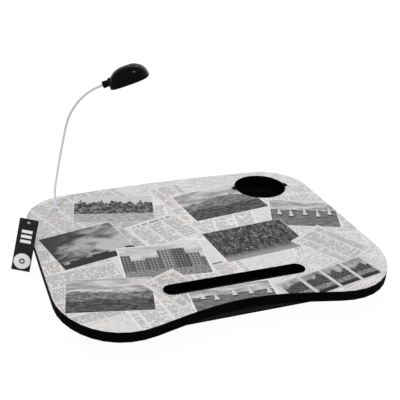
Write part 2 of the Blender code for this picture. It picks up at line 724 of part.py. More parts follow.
def make_neck():
    """The gooseneck as short lengths, each turning on the one before it."""
    foot_mark = joint_mark("lamp_swivel", Vector((LAMP_X, LAMP_Y, SOCKET_HIGH)))
    make_foot(foot_mark)
    seat = SLEEVE_HEIGHT - SLEEVE_BORE_DEPTH + CLEARANCE
    hang(neck_tube("neck_link_0", seat, neck_station(1), True), foot_mark)
    mark = foot_mark
    for index in range(1, NECK_JOINTS + 1):
        mark_next = joint_mark("neck_bend_%d" % index, neck_point(neck_station(index)))
        hang(mark_next, mark)
        mark = mark_next
        start = neck_station(index) + NECK_RADIUS + CLEARANCE
        last = index == NECK_JOINTS
        end = NECK_LENGTH + BOSS_BORE_DEPTH - CLEARANCE if last else neck_station(index + 1)
        hang(neck_tube("neck_link_%d" % index, start, end, not last), mark)
    return mark


def dome(name, shrink, look=None, parent=None, rings=12):
    """The head's rounded form, a layer inside its outer face."""
    mesh = bpy.data.meshes.new(name)
    bm = bmesh.new()
    bmesh.ops.create_uvsphere(bm, u_segments=2 * rings, v_segments=rings, radius=1.0)
    for vert in bm.verts:
        flat = math.hypot(vert.co.x, vert.co.y)
        around = math.atan2(vert.co.y, vert.co.x)
        power = [math.copysign(abs(v) ** HEAD_PLAN_ROUNDNESS, v) for v in
                 (math.cos(around), math.sin(around))]
        ring = flat ** HEAD_ROOF_ROUNDNESS
        vert.co.x = (HEAD_LENGTH / 2 - shrink) * ring * power[0]
        vert.co.y = (HEAD_WIDTH / 2 - shrink) * ring * power[1]
        vert.co.z = (HEAD_HEIGHT - shrink) * math.copysign(abs(vert.co.z) ** HEAD_ROOF_ROUNDNESS, vert.co.z)
    bm.to_mesh(mesh)
    bm.free()
    return smooth(place(name, mesh, look, parent, (HEAD_MIDDLE, 0.0, HEAD_UNDERSIDE)))


def head_outline(shrink=0.0, steps=HOLE_STEPS):
    points = []
    for i in range(steps):
        a = 2 * math.pi * i / steps
        x = math.copysign(abs(math.cos(a)) ** HEAD_PLAN_ROUNDNESS, math.cos(a))
        y = math.copysign(abs(math.sin(a)) ** HEAD_PLAN_ROUNDNESS, math.sin(a))
        points.append((HEAD_MIDDLE + (HEAD_LENGTH / 2 - shrink) * x, (HEAD_WIDTH / 2 - shrink) * y))
    return points


def roof_height(x):
    """The head's outer roof above its own axis, on its middle line."""
    across = abs(x - HEAD_MIDDLE) / (HEAD_LENGTH / 2)
    power = 2 / HEAD_ROOF_ROUNDNESS
    return HEAD_UNDERSIDE + HEAD_HEIGHT * (1 - across ** power) ** (1 / power)


def make_head_shell(head):
    side_turn = (0.0, math.pi / 2, 0.0)
    shell = dome("head_shell", 0.0, LOOKS["gloss"], head, 14)
    profile = [(0.0, BOSS_LENGTH), (BOSS_FLARE_RADIUS, BOSS_LENGTH), (BOSS_FLARE_RADIUS, HEAD_REAR + HEAD_WALL),
               (BOSS_WAIST_RADIUS, (HEAD_REAR + BOSS_COLLAR) / 2), (BOSS_RADIUS, BOSS_COLLAR), (BOSS_RADIUS, BOSS_ROUND),
               (BOSS_RADIUS - BOSS_ROUND, 0.0), (0.0, 0.0)]
    boss = turned("head_boss", profile, parent=head, steps=24)
    boss.rotation_euler = side_turn
    boolean(shell, boss, "UNION")
    boolean(shell, dome("head_hollow", HEAD_WALL, parent=head))
    slab_height = HEAD_HEIGHT + CUT_OVERRUN
    slab = block("head_trim", (2 * HEAD_LENGTH, 2 * HEAD_WIDTH, slab_height),
                 (HEAD_MIDDLE, 0.0, SHELL_LOW - slab_height / 2), parent=head)
    boolean(shell, slab)
    depth = BOSS_BORE_DEPTH + CUT_OVERRUN
    bore = rod("neck_bore", NECK_BORE_RADIUS, depth, ((BOSS_BORE_DEPTH - CUT_OVERRUN) / 2, 0.0, 0.0),
               side_turn, parent=head)
    boolean(shell, bore)
    high = HEAD_UNDERSIDE + HEAD_HEIGHT + CUT_OVERRUN
    hole = rod("button_hole", BUTTON_RADIUS + CLEARANCE, high, (BUTTON_X, 0.0, high / 2 + BOARD_HIGH), parent=head)
    boolean(shell, hole)


def make_head_base(head):
    window = circle(LENS_X, 0.0, LENS_RADIUS + CLEARANCE, 32)
    side = DOOR_LENGTH + 2 * CLEARANCE
    hatch = rounded_box(CELL_X, 0.0, side, side, DOOR_CORNER + CLEARANCE)
    plate("head_base", [head_outline(), window, hatch], HEAD_UNDERSIDE, BASE_HIGH, LOOKS["gloss"], head)
    door_mark = bpy.data.objects.new("door_pull", None)
    MARKS.objects.link(door_mark)
    door_mark.parent = head
    door_mark.location = (CELL_X, 0.0, HEAD_UNDERSIDE)
    door = rounded_box(0.0, 0.0, DOOR_LENGTH, DOOR_LENGTH, DOOR_CORNER)
    plate("battery_door", [door], 0.0, BASE_THICKNESS, LOOKS["gloss"], door_mark)


def make_head_works(head):
    """Lens, reflector, light, circuit board, cells and their contacts."""
    lens_low = BASE_HIGH - LENS_THICKNESS
    rod("lens", LENS_RADIUS, LENS_THICKNESS, (LENS_X, 0.0, lens_low + LENS_THICKNESS / 2),
        look=LOOKS["clear"], parent=head, steps=32)
    top = BOARD_LOW - CLEARANCE
    wide = LENS_RADIUS
    hole = LED_RADIUS + CLEARANCE
    flange = LED_FLANGE_THICKNESS + CLEARANCE
    seat = LED_FLANGE_RADIUS + CLEARANCE
    profile = [(hole, top - flange), (seat, top - flange), (seat, top), (REFLECTOR_TOP_RADIUS + REFLECTOR_WALL, top),
               (wide, SHELL_LOW), (wide - REFLECTOR_WALL, SHELL_LOW), (hole, top - flange - REFLECTOR_WALL)]
    turned("reflector", profile, LOOKS["mirror"], head, (LENS_X, 0.0, 0.0), 32, ring=True)
    base = top - LED_FLANGE_THICKNESS
    tip = top - LED_HEIGHT
    led = [(0.0, top), (LED_FLANGE_RADIUS, top), (LED_FLANGE_RADIUS, base), (LED_RADIUS, base),
           (LED_RADIUS, tip + LED_RADIUS / 2), (LED_RADIUS / 2, tip), (0.0, tip)]
    turned("led", led, LOOKS["led"], head, (LENS_X, 0.0, 0.0), 16)
    board_x = (CELL_X + LENS_X) / 2
    block("circuit_board", (BOARD_LENGTH, BOARD_WIDTH, BOARD_THICKNESS),
          (board_x, 0.0, BOARD_LOW + BOARD_THICKNESS / 2), LOOKS["board"], head)
    for index in range(2):
        middle = SHELL_LOW + index * CELL_PITCH + CELL_THICKNESS / 2
        rod("battery_cell_%d" % (index + 1), CELL_RADIUS, CELL_THICKNESS, (CELL_X, 0.0, middle),
            look=LOOKS["metal"], parent=head, steps=32)
    block("contact_plate", (CONTACT_LENGTH, CONTACT_WIDTH, CONTACT_THICKNESS),
          (CELL_X, 0.0, CONTACT_LOW + CONTACT_THICKNESS / 2), LOOKS["metal"], head)
    tall = CONTACT_HIGH - SHELL_LOW
    block("contact_clip", (CONTACT_THICKNESS, CONTACT_WIDTH, tall),
          (CELL_X + CELL_RADIUS + CLEARANCE + CONTACT_THICKNESS / 2, 0.0, SHELL_LOW + tall / 2),
          LOOKS["metal"], head)


def make_button(head):
    """The push button, its plunger and the switch under it."""
    high = roof_height(BUTTON_X) + BUTTON_PROUD
    low = high - BUTTON_HEIGHT
    mark = bpy.data.objects.new("button_press", None)
    MARKS.objects.link(mark)
    mark.parent = head
    mark.location = (BUTTON_X, 0.0, low)
    tall = HEAD_UNDERSIDE + HEAD_HEIGHT + CUT_OVERRUN - low
    button = rod("push_button", BUTTON_RADIUS, tall, (0.0, 0.0, tall / 2), look=LOOKS["gloss"], parent=mark, steps=32)
    boolean(button, dome("button_crown", -BUTTON_PROUD, parent=head, rings=14), "INTERSECT")
    body_high = low - BUTTON_TRAVEL - CLEARANCE
    body_height = body_high - SWITCH_LOW
    body = block("switch_body", (SWITCH_SIDE, SWITCH_SIDE, body_height),
                 (BUTTON_X, 0.0, SWITCH_LOW + body_height / 2), LOOKS["plastic"], head)
    well_low = SWITCH_LOW + SWITCH_FLOOR
    well_height = body_high + CUT_OVERRUN - well_low
    well = rod("switch_well", PLUNGER_RADIUS + CLEARANCE, well_height,
               (BUTTON_X, 0.0, well_low + well_height / 2), parent=head, steps=16)
    boolean(body, well)
    plunger_high = -CLEARANCE
    plunger_low = well_low - low + BUTTON_TRAVEL + CLEARANCE
    rod("switch_plunger", PLUNGER_RADIUS, plunger_high - plunger_low,
        (0.0, 0.0, (plunger_high + plunger_low) / 2), look=LOOKS["plastic"], parent=mark, steps=16)


def make_head(neck_mark):
    head = joint_mark("head_frame", neck_point(NECK_LENGTH), head_matrix())
    hang(head, neck_mark)
    bpy.context.view_layer.update()
    make_head_shell(head)
    make_head_base(head)
    make_head_works(head)
    make_button(head)


def make_tag():
    """A card that rests on the board's rim, and the bar-ended pin that holds it."""
    turn, lean, roll = math.radians(TAG_TURN), math.radians(TAG_LEAN), math.radians(TAG_ROLL)
    level = Vector((math.cos(turn), math.sin(turn), 0.0))
    inward = Vector((-math.sin(turn), math.cos(turn), 0.0))
    steep = inward * math.sin(lean) + Vector((0.0, 0.0, math.cos(lean)))
    across = level * math.cos(roll) - steep * math.sin(roll)
    up = level * math.sin(roll) + steep * math.cos(roll)
    front = across.cross(up)
    touch = Vector((-board_half_width(TAG_TOUCH_Y) - 2 * CLEARANCE, TAG_TOUCH_Y, TRAY_HEIGHT))
    foot = touch - up * ((TRAY_HEIGHT - TAG_LIFT) / up.z)
    hole = foot - across * (TAG_WIDTH / 2) + up * (TAG_LENGTH - TAG_HOLE_MARGIN)
    bar = hole + front * (TAG_THICKNESS / 2 + CLEARANCE + PIN_BAR_RADIUS)
    mark = joint_mark("tag_swing", bar, Matrix((across, up, front)).transposed().to_4x4())
    middle = TAG_LENGTH / 2 - TAG_HOLE_MARGIN
    card = rounded_box(0.0, -middle, TAG_WIDTH, TAG_LENGTH, TAG_CORNER)
    opening = circle(0.0, 0.0, TAG_HOLE_RADIUS, SMALL_STEPS)
    depth = -(TAG_THICKNESS + CLEARANCE + PIN_BAR_RADIUS)
    plate("tag_card", [card, opening], depth, depth + TAG_THICKNESS, LOOKS["card"], mark)

    edge = -board_half_width(PIN_ANCHOR_Y)
    outside = edge - PIN_STAND_OFF
    entry = Vector((outside, PIN_ANCHOR_Y, TRAY_HEIGHT - PIN_ANCHOR_DROP))
    leave = bar - front * (3 * PIN_STAND_OFF)
    above = Vector((outside, PIN_ANCHOR_Y, TRAY_HEIGHT + 2 * PIN_STAND_OFF))
    low = entry + Vector((0.0, 0.0, PIN_STAND_OFF))
    route = [bar, bar.lerp(leave, PIN_LEAVE_SHARE)]
    route += [leave.lerp(above, s) for s in pin_over_shares]
    route += [above.lerp(low, s) for s in pin_down_shares]
    route += [entry + Vector((PIN_STAND_OFF / 2, 0.0, 0.0)),
              Vector((edge + PIN_ANCHOR_DEPTH - CLEARANCE, PIN_ANCHOR_Y, entry.z))]
    pin = tube("tag_pin", route, PIN_RADIUS, LOOKS["nylon"])
    half = across * (PIN_BAR_LENGTH / 2)
    boolean(pin, tube("pin_bar", [bar - half, bar + half], PIN_BAR_RADIUS), "UNION")


clear_scene()
PARTS = new_collection("lap_tray")
CUTTERS = new_collection("cutters")
MARKS = new_collection("joint_marks")
LOOKS = {
    "print": material("print", (0.62, 0.61, 0.60), 0.45),
    "foam": material("foam", (0.012, 0.012, 0.013), 0.75),
    "panel": material("panel", (0.015, 0.015, 0.015), 0.6),
    "fabric": material("fabric", (0.01, 0.01, 0.011), 0.9),
    "beads": material("beads", (0.85, 0.85, 0.83), 0.8),
    "plastic": material("plastic", (0.012, 0.012, 0.012), 0.5),
    "gloss": material("gloss", (0.006, 0.006, 0.007), 0.18),
    "metal": material("metal", (0.75, 0.75, 0.76), 0.25, 1.0),
    "pale": material("pale", (0.72, 0.70, 0.71), 0.4),
    "neck": material("neck", (0.60, 0.57, 0.60), 0.35, 0.6),
    "mirror": material("mirror", (0.85, 0.85, 0.86), 0.1, 1.0),
    "clear": material("clear", (0.9, 0.9, 0.92), 0.15, 0.0, 0.4),
    "led": material("led", (0.95, 0.93, 0.8), 0.3),
    "board": material("board", (0.03, 0.16, 0.07), 0.5),
    "card": material("card", (0.02, 0.02, 0.022), 0.6),
    "nylon": material("nylon", (0.8, 0.8, 0.8), 0.35),
}
make_board()
make_base_panel()
make_cushion()
make_cup()
make_socket()
make_head(make_neck())
make_tag()
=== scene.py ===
"""The lap tray dressed for its picture: printed top, black foam, bean cushion,
cup well, gooseneck lamp and hang tag, on a pale floor in soft light."""
import math

import bmesh
import bpy
from mathutils import Matrix, Vector


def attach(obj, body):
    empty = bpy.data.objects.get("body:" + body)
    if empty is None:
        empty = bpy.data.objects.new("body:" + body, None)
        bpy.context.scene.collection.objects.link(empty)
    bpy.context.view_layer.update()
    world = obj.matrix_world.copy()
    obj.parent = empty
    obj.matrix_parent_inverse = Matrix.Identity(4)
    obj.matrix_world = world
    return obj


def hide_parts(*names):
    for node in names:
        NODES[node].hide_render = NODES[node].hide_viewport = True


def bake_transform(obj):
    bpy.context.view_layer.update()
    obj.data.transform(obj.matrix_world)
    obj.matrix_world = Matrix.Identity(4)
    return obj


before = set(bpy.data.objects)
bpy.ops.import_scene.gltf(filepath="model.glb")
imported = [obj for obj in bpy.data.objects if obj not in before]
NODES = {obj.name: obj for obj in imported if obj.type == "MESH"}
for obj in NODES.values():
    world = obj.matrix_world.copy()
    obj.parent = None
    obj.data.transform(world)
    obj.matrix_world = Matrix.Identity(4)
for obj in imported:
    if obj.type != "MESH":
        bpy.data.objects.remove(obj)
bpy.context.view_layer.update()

# Meshing
MERGE_DISTANCE = 0.000005
SHARP_ANGLE = math.radians(32.0)

# Board
TRAY_TOP = 0.0550
CUP = (0.1554, 0.1438)
CUP_POCKET_RADIUS = 0.0429
CUP_POCKET_LOW = 0.0257
LAMP = (-0.1840, 0.1580)
NUT_POCKET_RADIUS = 0.0078
NUT_POCKET_LOW = 0.0331
NUT_POCKET_HIGH = 0.0491
POCKET_PAST_TOP = 0.01

# Gooseneck
NECK_RADIUS = 0.0016
NECK_LENGTH = 0.2276
NECK_TURN = math.radians(-20.0)
NECK_JOINTS = 6
NECK_STEP = 0.0040
NECK_SIDES = 20
NECK_RING_GAP = 0.0012
NECK_FEWEST_RINGS = 6
NECK_GAP = 0.0003
SLEEVE_HEIGHT = 0.0170
SLEEVE_BORE_DEPTH = 0.0080
BOSS_BORE_DEPTH = 0.0060
# share of the length, lean in degrees from upright
NECK_LEANS = ((0.0, 0.0), (0.08, 0.0), (0.20, 10.0), (0.61, 13.0), (0.80, 39.0), (1.0, 68.0))

# Lamp head, along X from the gooseneck's end
HEAD_LENGTH = 0.0588
HEAD_WIDTH = 0.0385
HEAD_HEIGHT = 0.0231
HEAD_WALL = 0.0016
HEAD_REAR = 0.0088
HEAD_UNDERSIDE = -0.0077
HEAD_SHELL_LOW = -0.0060
HEAD_PLAN_ROUNDNESS = 0.62
HEAD_ROOF_ROUNDNESS = 0.90
HEAD_SLAB_SIZE = 0.2
HEAD_SLAB_X = 0.04
NECK_BORE_LENGTH = 0.008
NECK_BORE_X = 0.002
BOSS_LENGTH = 0.0130
# radius, X
BOSS_PROFILE = ((0.0, 0.0), (0.0043, 0.0), (0.0050, 0.0003), (0.0052, 0.0010), (0.0052, 0.0042),
                (0.0050, 0.0056), (0.0049, 0.0066), (0.0051, 0.0076), (0.0056, 0.0088),
                (0.0063, 0.0098), (0.0070, 0.0104), (0.0070, BOSS_LENGTH), (0.0, BOSS_LENGTH))
BUTTON_X = 0.0516
BUTTON_RADIUS = 0.0047
BUTTON_HOLE_RADIUS = 0.0050
BUTTON_HOLE_LENGTH = 0.020
BUTTON_HOLE_HEIGHT = 0.0155
BUTTON_PROUD = 0.0006
BUTTON_LOW = 0.0107
BUTTON_BLANK = 0.012
BUTTON_ROUNDING = 0.0003
BUTTON_ROUNDED_FROM = math.radians(50.0)

# Hang tag
TAG_TURN = math.radians(-16.0)
TAG_LEAN = math.radians(8.4)
TAG_ROLL = math.radians(11.7)
TAG_DISC_DROP = 0.0247
TAG_DISC_EDGE = (0.0119, 0.0116)
TAG_RING_RADIUS = 0.0031
TAG_RING_EDGE = (0.0011, 0.0008)
TAG_BARS_RISE = 0.0130
TAG_BARS_HALF_HEIGHT = 0.0112
TAG_BARS_HALF_WIDTH = 0.0074
TAG_BAR_PITCH = 0.0075

# Cushion
CUSHION_HALF = 0.2220
CUSHION_FRONT = 0.1380
CUSHION_BACK = 0.1960
CUSHION_FRONT_RADIUS = 0.0850
CUSHION_BACK_RADIUS = 0.0600
CUSHION_HIGH = 0.0366
CUSHION_SEAM = 0.0110
CUSHION_CAP = 0.0080
CUSHION_VOXEL = 0.005
# height, inset from the widest outline
CUSHION_LEVELS = ((CUSHION_HIGH, 0.010), (0.0345, 0.007), (0.0290, 0.0055), (0.0200, 0.0050),
                  (0.0130, 0.0065), (CUSHION_SEAM, 0.0080), (0.0080, 0.0105), (0.0045, 0.0150),
                  (0.0018, 0.0210), (0.0, 0.0290))
HELD_UNDER_TOP = 0.0035
HELD_OVER_FLOOR = 0.0012
HELD_BY_SEAM = 0.0018
SEAM_HOLD = 0.9
CLOTH_FRAMES = 20
PIPING_RADIUS = 0.0011
PIPING_PROUD = 0.0002
# where the rays that find the seam start and aim, in shares of the outline
SEAM_RAY_START = 1.3
SEAM_RAY_AIM = 0.6

# Printed top: sheets and their tones, from black at nought to white at one
ZONES = ((-0.30, -0.115), (-0.115, -0.020), (-0.020, 0.070), (0.070, 0.155), (0.155, 0.30))
SHEET_SLACK = 0.004
PAPER = 0.70
INK = 0.10
PAGE_EDGE = 0.0016
PAGE_EDGE_PAINTED_SHADOW = 0.80
PAGE_MARGIN = 0.010
# type: shares of a column, of a row or of the words
COLUMN_SHIFT = 50.5
COLUMN_HALF_FILL = 0.44
TYPE_WEIGHT = 0.55
WORD_PITCHES = 1.35
WORD_GAPS = 0.17
LETTER_PITCHES = 0.4
SHORT_LINES_FROM = 0.84
SHORT_LINE_CUT = 0.4
FAINT_LETTER = 0.6
# a page's title, in shares of the page's width and of the head's height
TITLE_DROP = 0.003
TITLE_WIDTH = 0.72
TITLE_HEIGHT = 0.52
TITLE_LETTER = 0.62
TITLE_GAPS = 0.22
TITLE_TONE = 0.24
TITLE_RULE_MARGIN = 0.012
TITLE_RULE_WEIGHT = 0.0006
TITLE_RULE_TONE = 0.34
# ledger sheets and the pen strokes on them
LEDGER_EDGE = 0.0014
LEDGER_EDGE_PAINTED_SHADOW = 0.82
LEDGER_RULE_WEIGHT = 0.09
LEDGER_RULE_DEPTH = 0.55
LEDGER_RULE_TONE = 0.30
LEDGER_SIDE_MARGIN = 0.012
LEDGER_TOP_MARGIN = 0.008
PEN_WAVE = 900.0
PEN_ROW_SHIFT = 2.1
PEN_WANDER = 260.0
PEN_HEIGHT = 0.42
PEN_SWING = 0.34
PEN_HALF_WEIGHT = 0.085
PEN_SPANS = 34.0
PEN_SPANS_FROM = 0.47
PEN_DEPTH = 0.62

# Waves of the weave and of the coil, in radians to a metre
THREAD_WAVE = 9000.0
COIL_WAVE = 4200.0

# Room
FLOOR_HALF = 6.0
FLOOR_DROP = 0.0006
FLOOR_GLOW = 1.04
FLOOR_GLOW_SHARE = 0.93
WORLD_LIGHT = 0.62
LAMP_AIM = (0.0, 0.0, 0.05)
# name, place, size, power
LAMPS = (("key", (-0.83, -0.92, 2.06), 0.40, 14.0),
         ("fill", (1.6, -0.6, 1.4), 1.4, 7.0),
         ("rear", (0.3, 1.7, 1.7), 1.2, 7.0))

# Camera
CAMERA_PLACE = (-0.38396, -0.93661, 0.62740)
CAMERA_RIGHT = (0.93457, -0.35362, 0.03910)
CAMERA_UP = (0.12584, 0.43136, 0.89336)
CAMERA_BACK = (-0.33278, -0.82999, 0.44764)
CAMERA_LENS = 71.98
CAMERA_SENSOR = 36.0
CAMERA_REACH = (0.01, 50.0)


class Look:
    """A node material with short helpers for its sums."""

    def __init__(self, name):
        self.material = bpy.data.materials.new(name)
        self.material.use_nodes = True
        self.tree = self.material.node_tree
        self.shader = self.tree.nodes["Principled BSDF"]

    def put(self, socket, value):
        if isinstance(value, bpy.types.NodeSocket):
            self.tree.links.new(value, socket)
        else:
            socket.default_value = value

    def node(self, kind, **settings):
        made = self.tree.nodes.new("ShaderNode" + kind)
        for key, value in settings.items():
            setattr(made, key, value)
        return made

    def sum(self, operation, a, b=0.0, c=0.0):
        made = self.node("Math", operation=operation)
        for socket, value in zip(made.inputs, (a, b, c)):
            self.put(socket, value)
        return made.outputs[0]

    def plus(self, a, b):
        return self.sum("ADD", a, b)

    def minus(self, a, b):
        return self.sum("SUBTRACT", a, b)

    def times(self, a, b):
        return self.sum("MULTIPLY", a, b)

    def over(self, a, b):
        return self.sum("DIVIDE", a, b)

    def times_plus(self, a, b, c):
        return self.sum("MULTIPLY_ADD", a, b, c)

    def below(self, a, b):
        return self.sum("LESS_THAN", a, b)

    def above(self, a, b):
        return self.sum("GREATER_THAN", a, b)

    def size(self, a):
        return self.sum("ABSOLUTE", a)

    def floor(self, a):
        return self.sum("FLOOR", a)

    def fract(self, a):
        return self.sum("FRACT", a)

    def mix(self, share, a, b):
        made = self.node("Mix", data_type="FLOAT")
        self.put(made.inputs["Factor"], share)
        self.put(made.inputs["A"], a)
        self.put(made.inputs["B"], b)
        return made.outputs["Result"]

    def blend(self, share, a, b):
        """A mix of two colours: the node's colour sockets have no names of their own."""
        made = self.node("Mix", data_type="RGBA")
        self.put(made.inputs["Factor"], share)
        self.put(made.inputs[6], a)
        self.put(made.inputs[7], b)
        return made.outputs[2]

    def step(self, value, low, high):
        """Nought at low, one at high, smooth between."""
        made = self.node("MapRange", interpolation_type="SMOOTHSTEP")
        self.put(made.inputs["Value"], value)
        self.put(made.inputs["From Min"], low)
        self.put(made.inputs["From Max"], high)
        return made.outputs["Result"]

    def ramp(self, value, low, high, a, b):
        """From a to b as the value goes from low to high."""
        return self.mix(self.step(value, low, high), a, b)

    def place(self):
        """The surface point in metres, as it lies on the part at rest."""
        return self.node("TexCoord").outputs["Object"]

    def split(self, vector):
        made = self.node("SeparateXYZ")
        self.put(made.inputs[0], vector)
        return made.outputs

    def join(self, x, y, z=0.0):
        made = self.node("CombineXYZ")
        for socket, value in zip(made.inputs, (x, y, z)):
            self.put(socket, value)
        return made.outputs[0]

    def noise(self, vector, scale, detail=3.0, roughness=0.5, distortion=0.0):
        made = self.node("TexNoise")
        self.put(made.inputs["Vector"], vector)
        made.inputs["Scale"].default_value = scale
        made.inputs["Detail"].default_value = detail
        made.inputs["Roughness"].default_value = roughness
        made.inputs["Distortion"].default_value = distortion
        return made.outputs[0]

    def chance(self, x, y, z):
        """A number from nought to one that hangs only on the three given."""
        where = self.join(x, y, z)
        made = self.node("TexWhiteNoise", noise_dimensions="3D")
        self.put(made.inputs["Vector"], where)
        return made.outputs["Value"]

    def bump(self, height, strength, distance):
        made = self.node("Bump")
        made.inputs["Strength"].default_value = strength
        made.inputs["Distance"].default_value = distance
        self.put(made.inputs["Height"], height)
        self.put(self.shader.inputs["Normal"], made.outputs["Normal"])

    def finish(self, color, roughness, metallic=0.0, level=0.5):
        self.put(self.shader.inputs["Base Color"], color)
        self.put(self.shader.inputs["Roughness"], roughness)
        self.shader.inputs["Metallic"].default_value = metallic
        self.shader.inputs["Specular IOR Level"].default_value = level
        return self.material


def grey(value):
    return (value, value, value, 1.0)


# The printed top: a collage of newsprint-like sheets and landscape prints
class Collage(Look):
    """Each layer covers what is under it; tones are greys from nought to one.

    A zone is a span along X: sheets that don't reach it are left out, which
    keeps each material within what the renderer can hold.
    """

    def __init__(self, name, zone):
        super().__init__(name)
        self.zone = zone
        self.point = self.place()
        self.tone = PAPER

    def misses(self, where, turn, width, height):
        t = math.radians(turn)
        reach = (width * abs(math.cos(t)) + height * abs(math.sin(t))) / 2 + SHEET_SLACK
        return where[0] + reach < self.zone[0] or where[0] - reach > self.zone[1]

    def sheet(self, where, turn):
        """The point's measures along a sheet's sides, from the sheet's middle."""
        made = self.node("Mapping", vector_type="TEXTURE")
        self.put(made.inputs["Vector"], self.point)
        made.inputs["Location"].default_value = (*where, 0.0)
        made.inputs["Rotation"].default_value = (0.0, 0.0, math.radians(turn))
        x, y, _ = self.split(made.outputs["Vector"])
        return x, y

    def inside(self, x, y, width, height):
        """One inside a rectangle about the sheet's middle."""
        across = self.minus(self.size(x), width / 2)
        along = self.minus(self.size(y), height / 2)
        return self.below(self.sum("MAXIMUM", across, along), 0.0)

    def cover(self, mask, tone):
        self.tone = self.mix(mask, self.tone, tone)

    def patch(self, u, v, seed, across, along, scale, detail, roughness):
        """Noise over a picture, drawn closer by a factor along each side."""
        where = self.join(self.times(u, across), self.times(v, along), seed)
        return self.noise(where, scale, detail, roughness)

    def words(self, x, y, seed, column, pitch, ink):
        """Columns of broken bars, as set type looks from afar."""
        part = self.over(x, column)
        within = self.fract(self.plus(part, COLUMN_SHIFT))
        number = self.floor(self.plus(part, COLUMN_SHIFT))
        row_place = self.over(y, pitch)
        row = self.floor(row_place)
        bar = self.below(self.fract(row_place), TYPE_WEIGHT)
        margin = self.below(self.size(self.minus(within, 0.5)), COLUMN_HALF_FILL)
        word = self.floor(self.over(x, pitch * WORD_PITCHES))
        gap = self.above(self.chance(word, row, seed), WORD_GAPS)
        last = self.above(self.chance(number, row, seed + 3.3), SHORT_LINES_FROM)
        short = self.below(within, self.times_plus(last, -SHORT_LINE_CUT, 1.0))
        letter = self.floor(self.over(x, pitch * LETTER_PITCHES))
        depth = self.mix(self.chance(letter, row, seed + 7.7), ink * FAINT_LETTER, ink)
        mask = self.times(self.times(bar, margin), self.times(gap, short))
        return self.times(mask, depth)

    def page(self, where, turn, width, height, seed, ink, paper,
             column=0.034, pitch=0.0024, head=0.0):
        """A newspaper sheet: a thin line of painted shadow round its edge, columns of type and a
        bold line on top.
        """
        if self.misses(where, turn, width, height):
            return
        x, y = self.sheet(where, turn)
        # painted shadow: a thin darker band of paper round the sheet, where it lies over the layer
        # below
        self.cover(self.inside(x, y, width + PAGE_EDGE, height + PAGE_EDGE),
                   paper * PAGE_EDGE_PAINTED_SHADOW)
        self.cover(self.inside(x, y, width, height), paper)
        block = self.inside(x, self.plus(y, head / 2), width - PAGE_MARGIN,
                            height - PAGE_MARGIN - head)
        self.cover(self.times(block, self.words(x, y, seed, column, pitch, ink)), INK)
        if head:
            top = self.minus(y, height / 2 - head / 2 - TITLE_DROP)
            title = self.inside(x, top, width * TITLE_WIDTH, head * TITLE_HEIGHT)
            letter = self.chance(self.floor(self.over(x, head * TITLE_LETTER)), seed, 2.0)
            self.cover(self.times(title, self.above(letter, TITLE_GAPS)), TITLE_TONE)
            rule = self.inside(x, self.plus(top, head / 2), width - TITLE_RULE_MARGIN,
                               TITLE_RULE_WEIGHT)
            self.cover(rule, TITLE_RULE_TONE)

    def ruled(self, where, turn, width, height, seed, pitch, paper):
        """A ledger sheet: a thin line of painted shadow round its edge, thin rules and a few soft
        pen strokes.
        """
        if self.misses(where, turn, width, height):
            return
        x, y = self.sheet(where, turn)
        # painted shadow: a thin darker band of paper round the sheet, where it lies over the layer
        # below
        self.cover(self.inside(x, y, width + LEDGER_EDGE, height + LEDGER_EDGE),
                   paper * LEDGER_EDGE_PAINTED_SHADOW)
        inner = self.inside(x, y, width, height)
        self.cover(inner, paper)
        rule = self.below(self.fract(self.over(y, pitch)), LEDGER_RULE_WEIGHT)
        self.cover(self.times(self.times(inner, rule), LEDGER_RULE_DEPTH), LEDGER_RULE_TONE)
        row = self.floor(self.over(y, pitch))
        wave = self.sum("SINE", self.times_plus(x, PEN_WAVE, self.times(row, PEN_ROW_SHIFT)))
        wander = self.noise(self.join(x, row, seed), PEN_WANDER, 1.0)
        in_row = self.minus(self.fract(self.over(y, pitch)), PEN_HEIGHT)
        off_line = self.minus(in_row, self.times(self.times(wave, wander), PEN_SWING))
        stroke = self.below(self.size(off_line), PEN_HALF_WEIGHT)
        spans = self.noise(self.join(x, row, seed + 5.0), PEN_SPANS, 1.0)
        written = self.above(spans, PEN_SPANS_FROM)
        block = self.inside(x, y, width - LEDGER_SIDE_MARGIN, height - LEDGER_TOP_MARGIN)
        self.cover(self.times(self.times(stroke, written), self.times(block, PEN_DEPTH)), INK)

    def print_of(self, where, turn, width, height, picture, seed, border=0.0022, rim=0.80):
        """A photographic print with a pale border."""
        if self.misses(where, turn, width, height):
            return
        x, y = self.sheet(where, turn)
        self.cover(self.inside(x, y, width + 2 * border, height + 2 * border), rim)
        u = self.over(x, width)
        v = self.over(y, height)
        self.cover(self.inside(x, y, width, height), picture(self, u, v, seed))


def hills(look, u, v, seed):
    """Cloudy sky, a far ridge and a dark near slope."""
    sky = look.patch(u, v, seed, 2.2, 5.0, 1.6, 4.0, 0.55)
    tone = look.ramp(sky, 0.34, 0.66, 0.30, 0.64)
    ridge = look.noise(look.join(u, seed, 0.0), 3.2, 4.0, 0.55)
    far = look.below(v, look.times_plus(ridge, 0.50, -0.14))
    rock = look.patch(u, v, seed, 7.0, 9.0, 2.4, 4.0, 0.7)
    tone = look.mix(far, tone, look.ramp(rock, 0.40, 0.62, 0.10, 0.28))
    near_ridge = look.noise(look.join(u, seed + 4.0, 0.0), 2.2, 5.0, 0.6)
    near = look.below(v, look.times_plus(near_ridge, 0.50, -0.40))
    ground = look.patch(u, v, seed, 5.0, 14.0, 2.6, 5.0, 0.7)
    return look.mix(near, tone, look.ramp(ground, 0.40, 0.64, 0.025, 0.15))


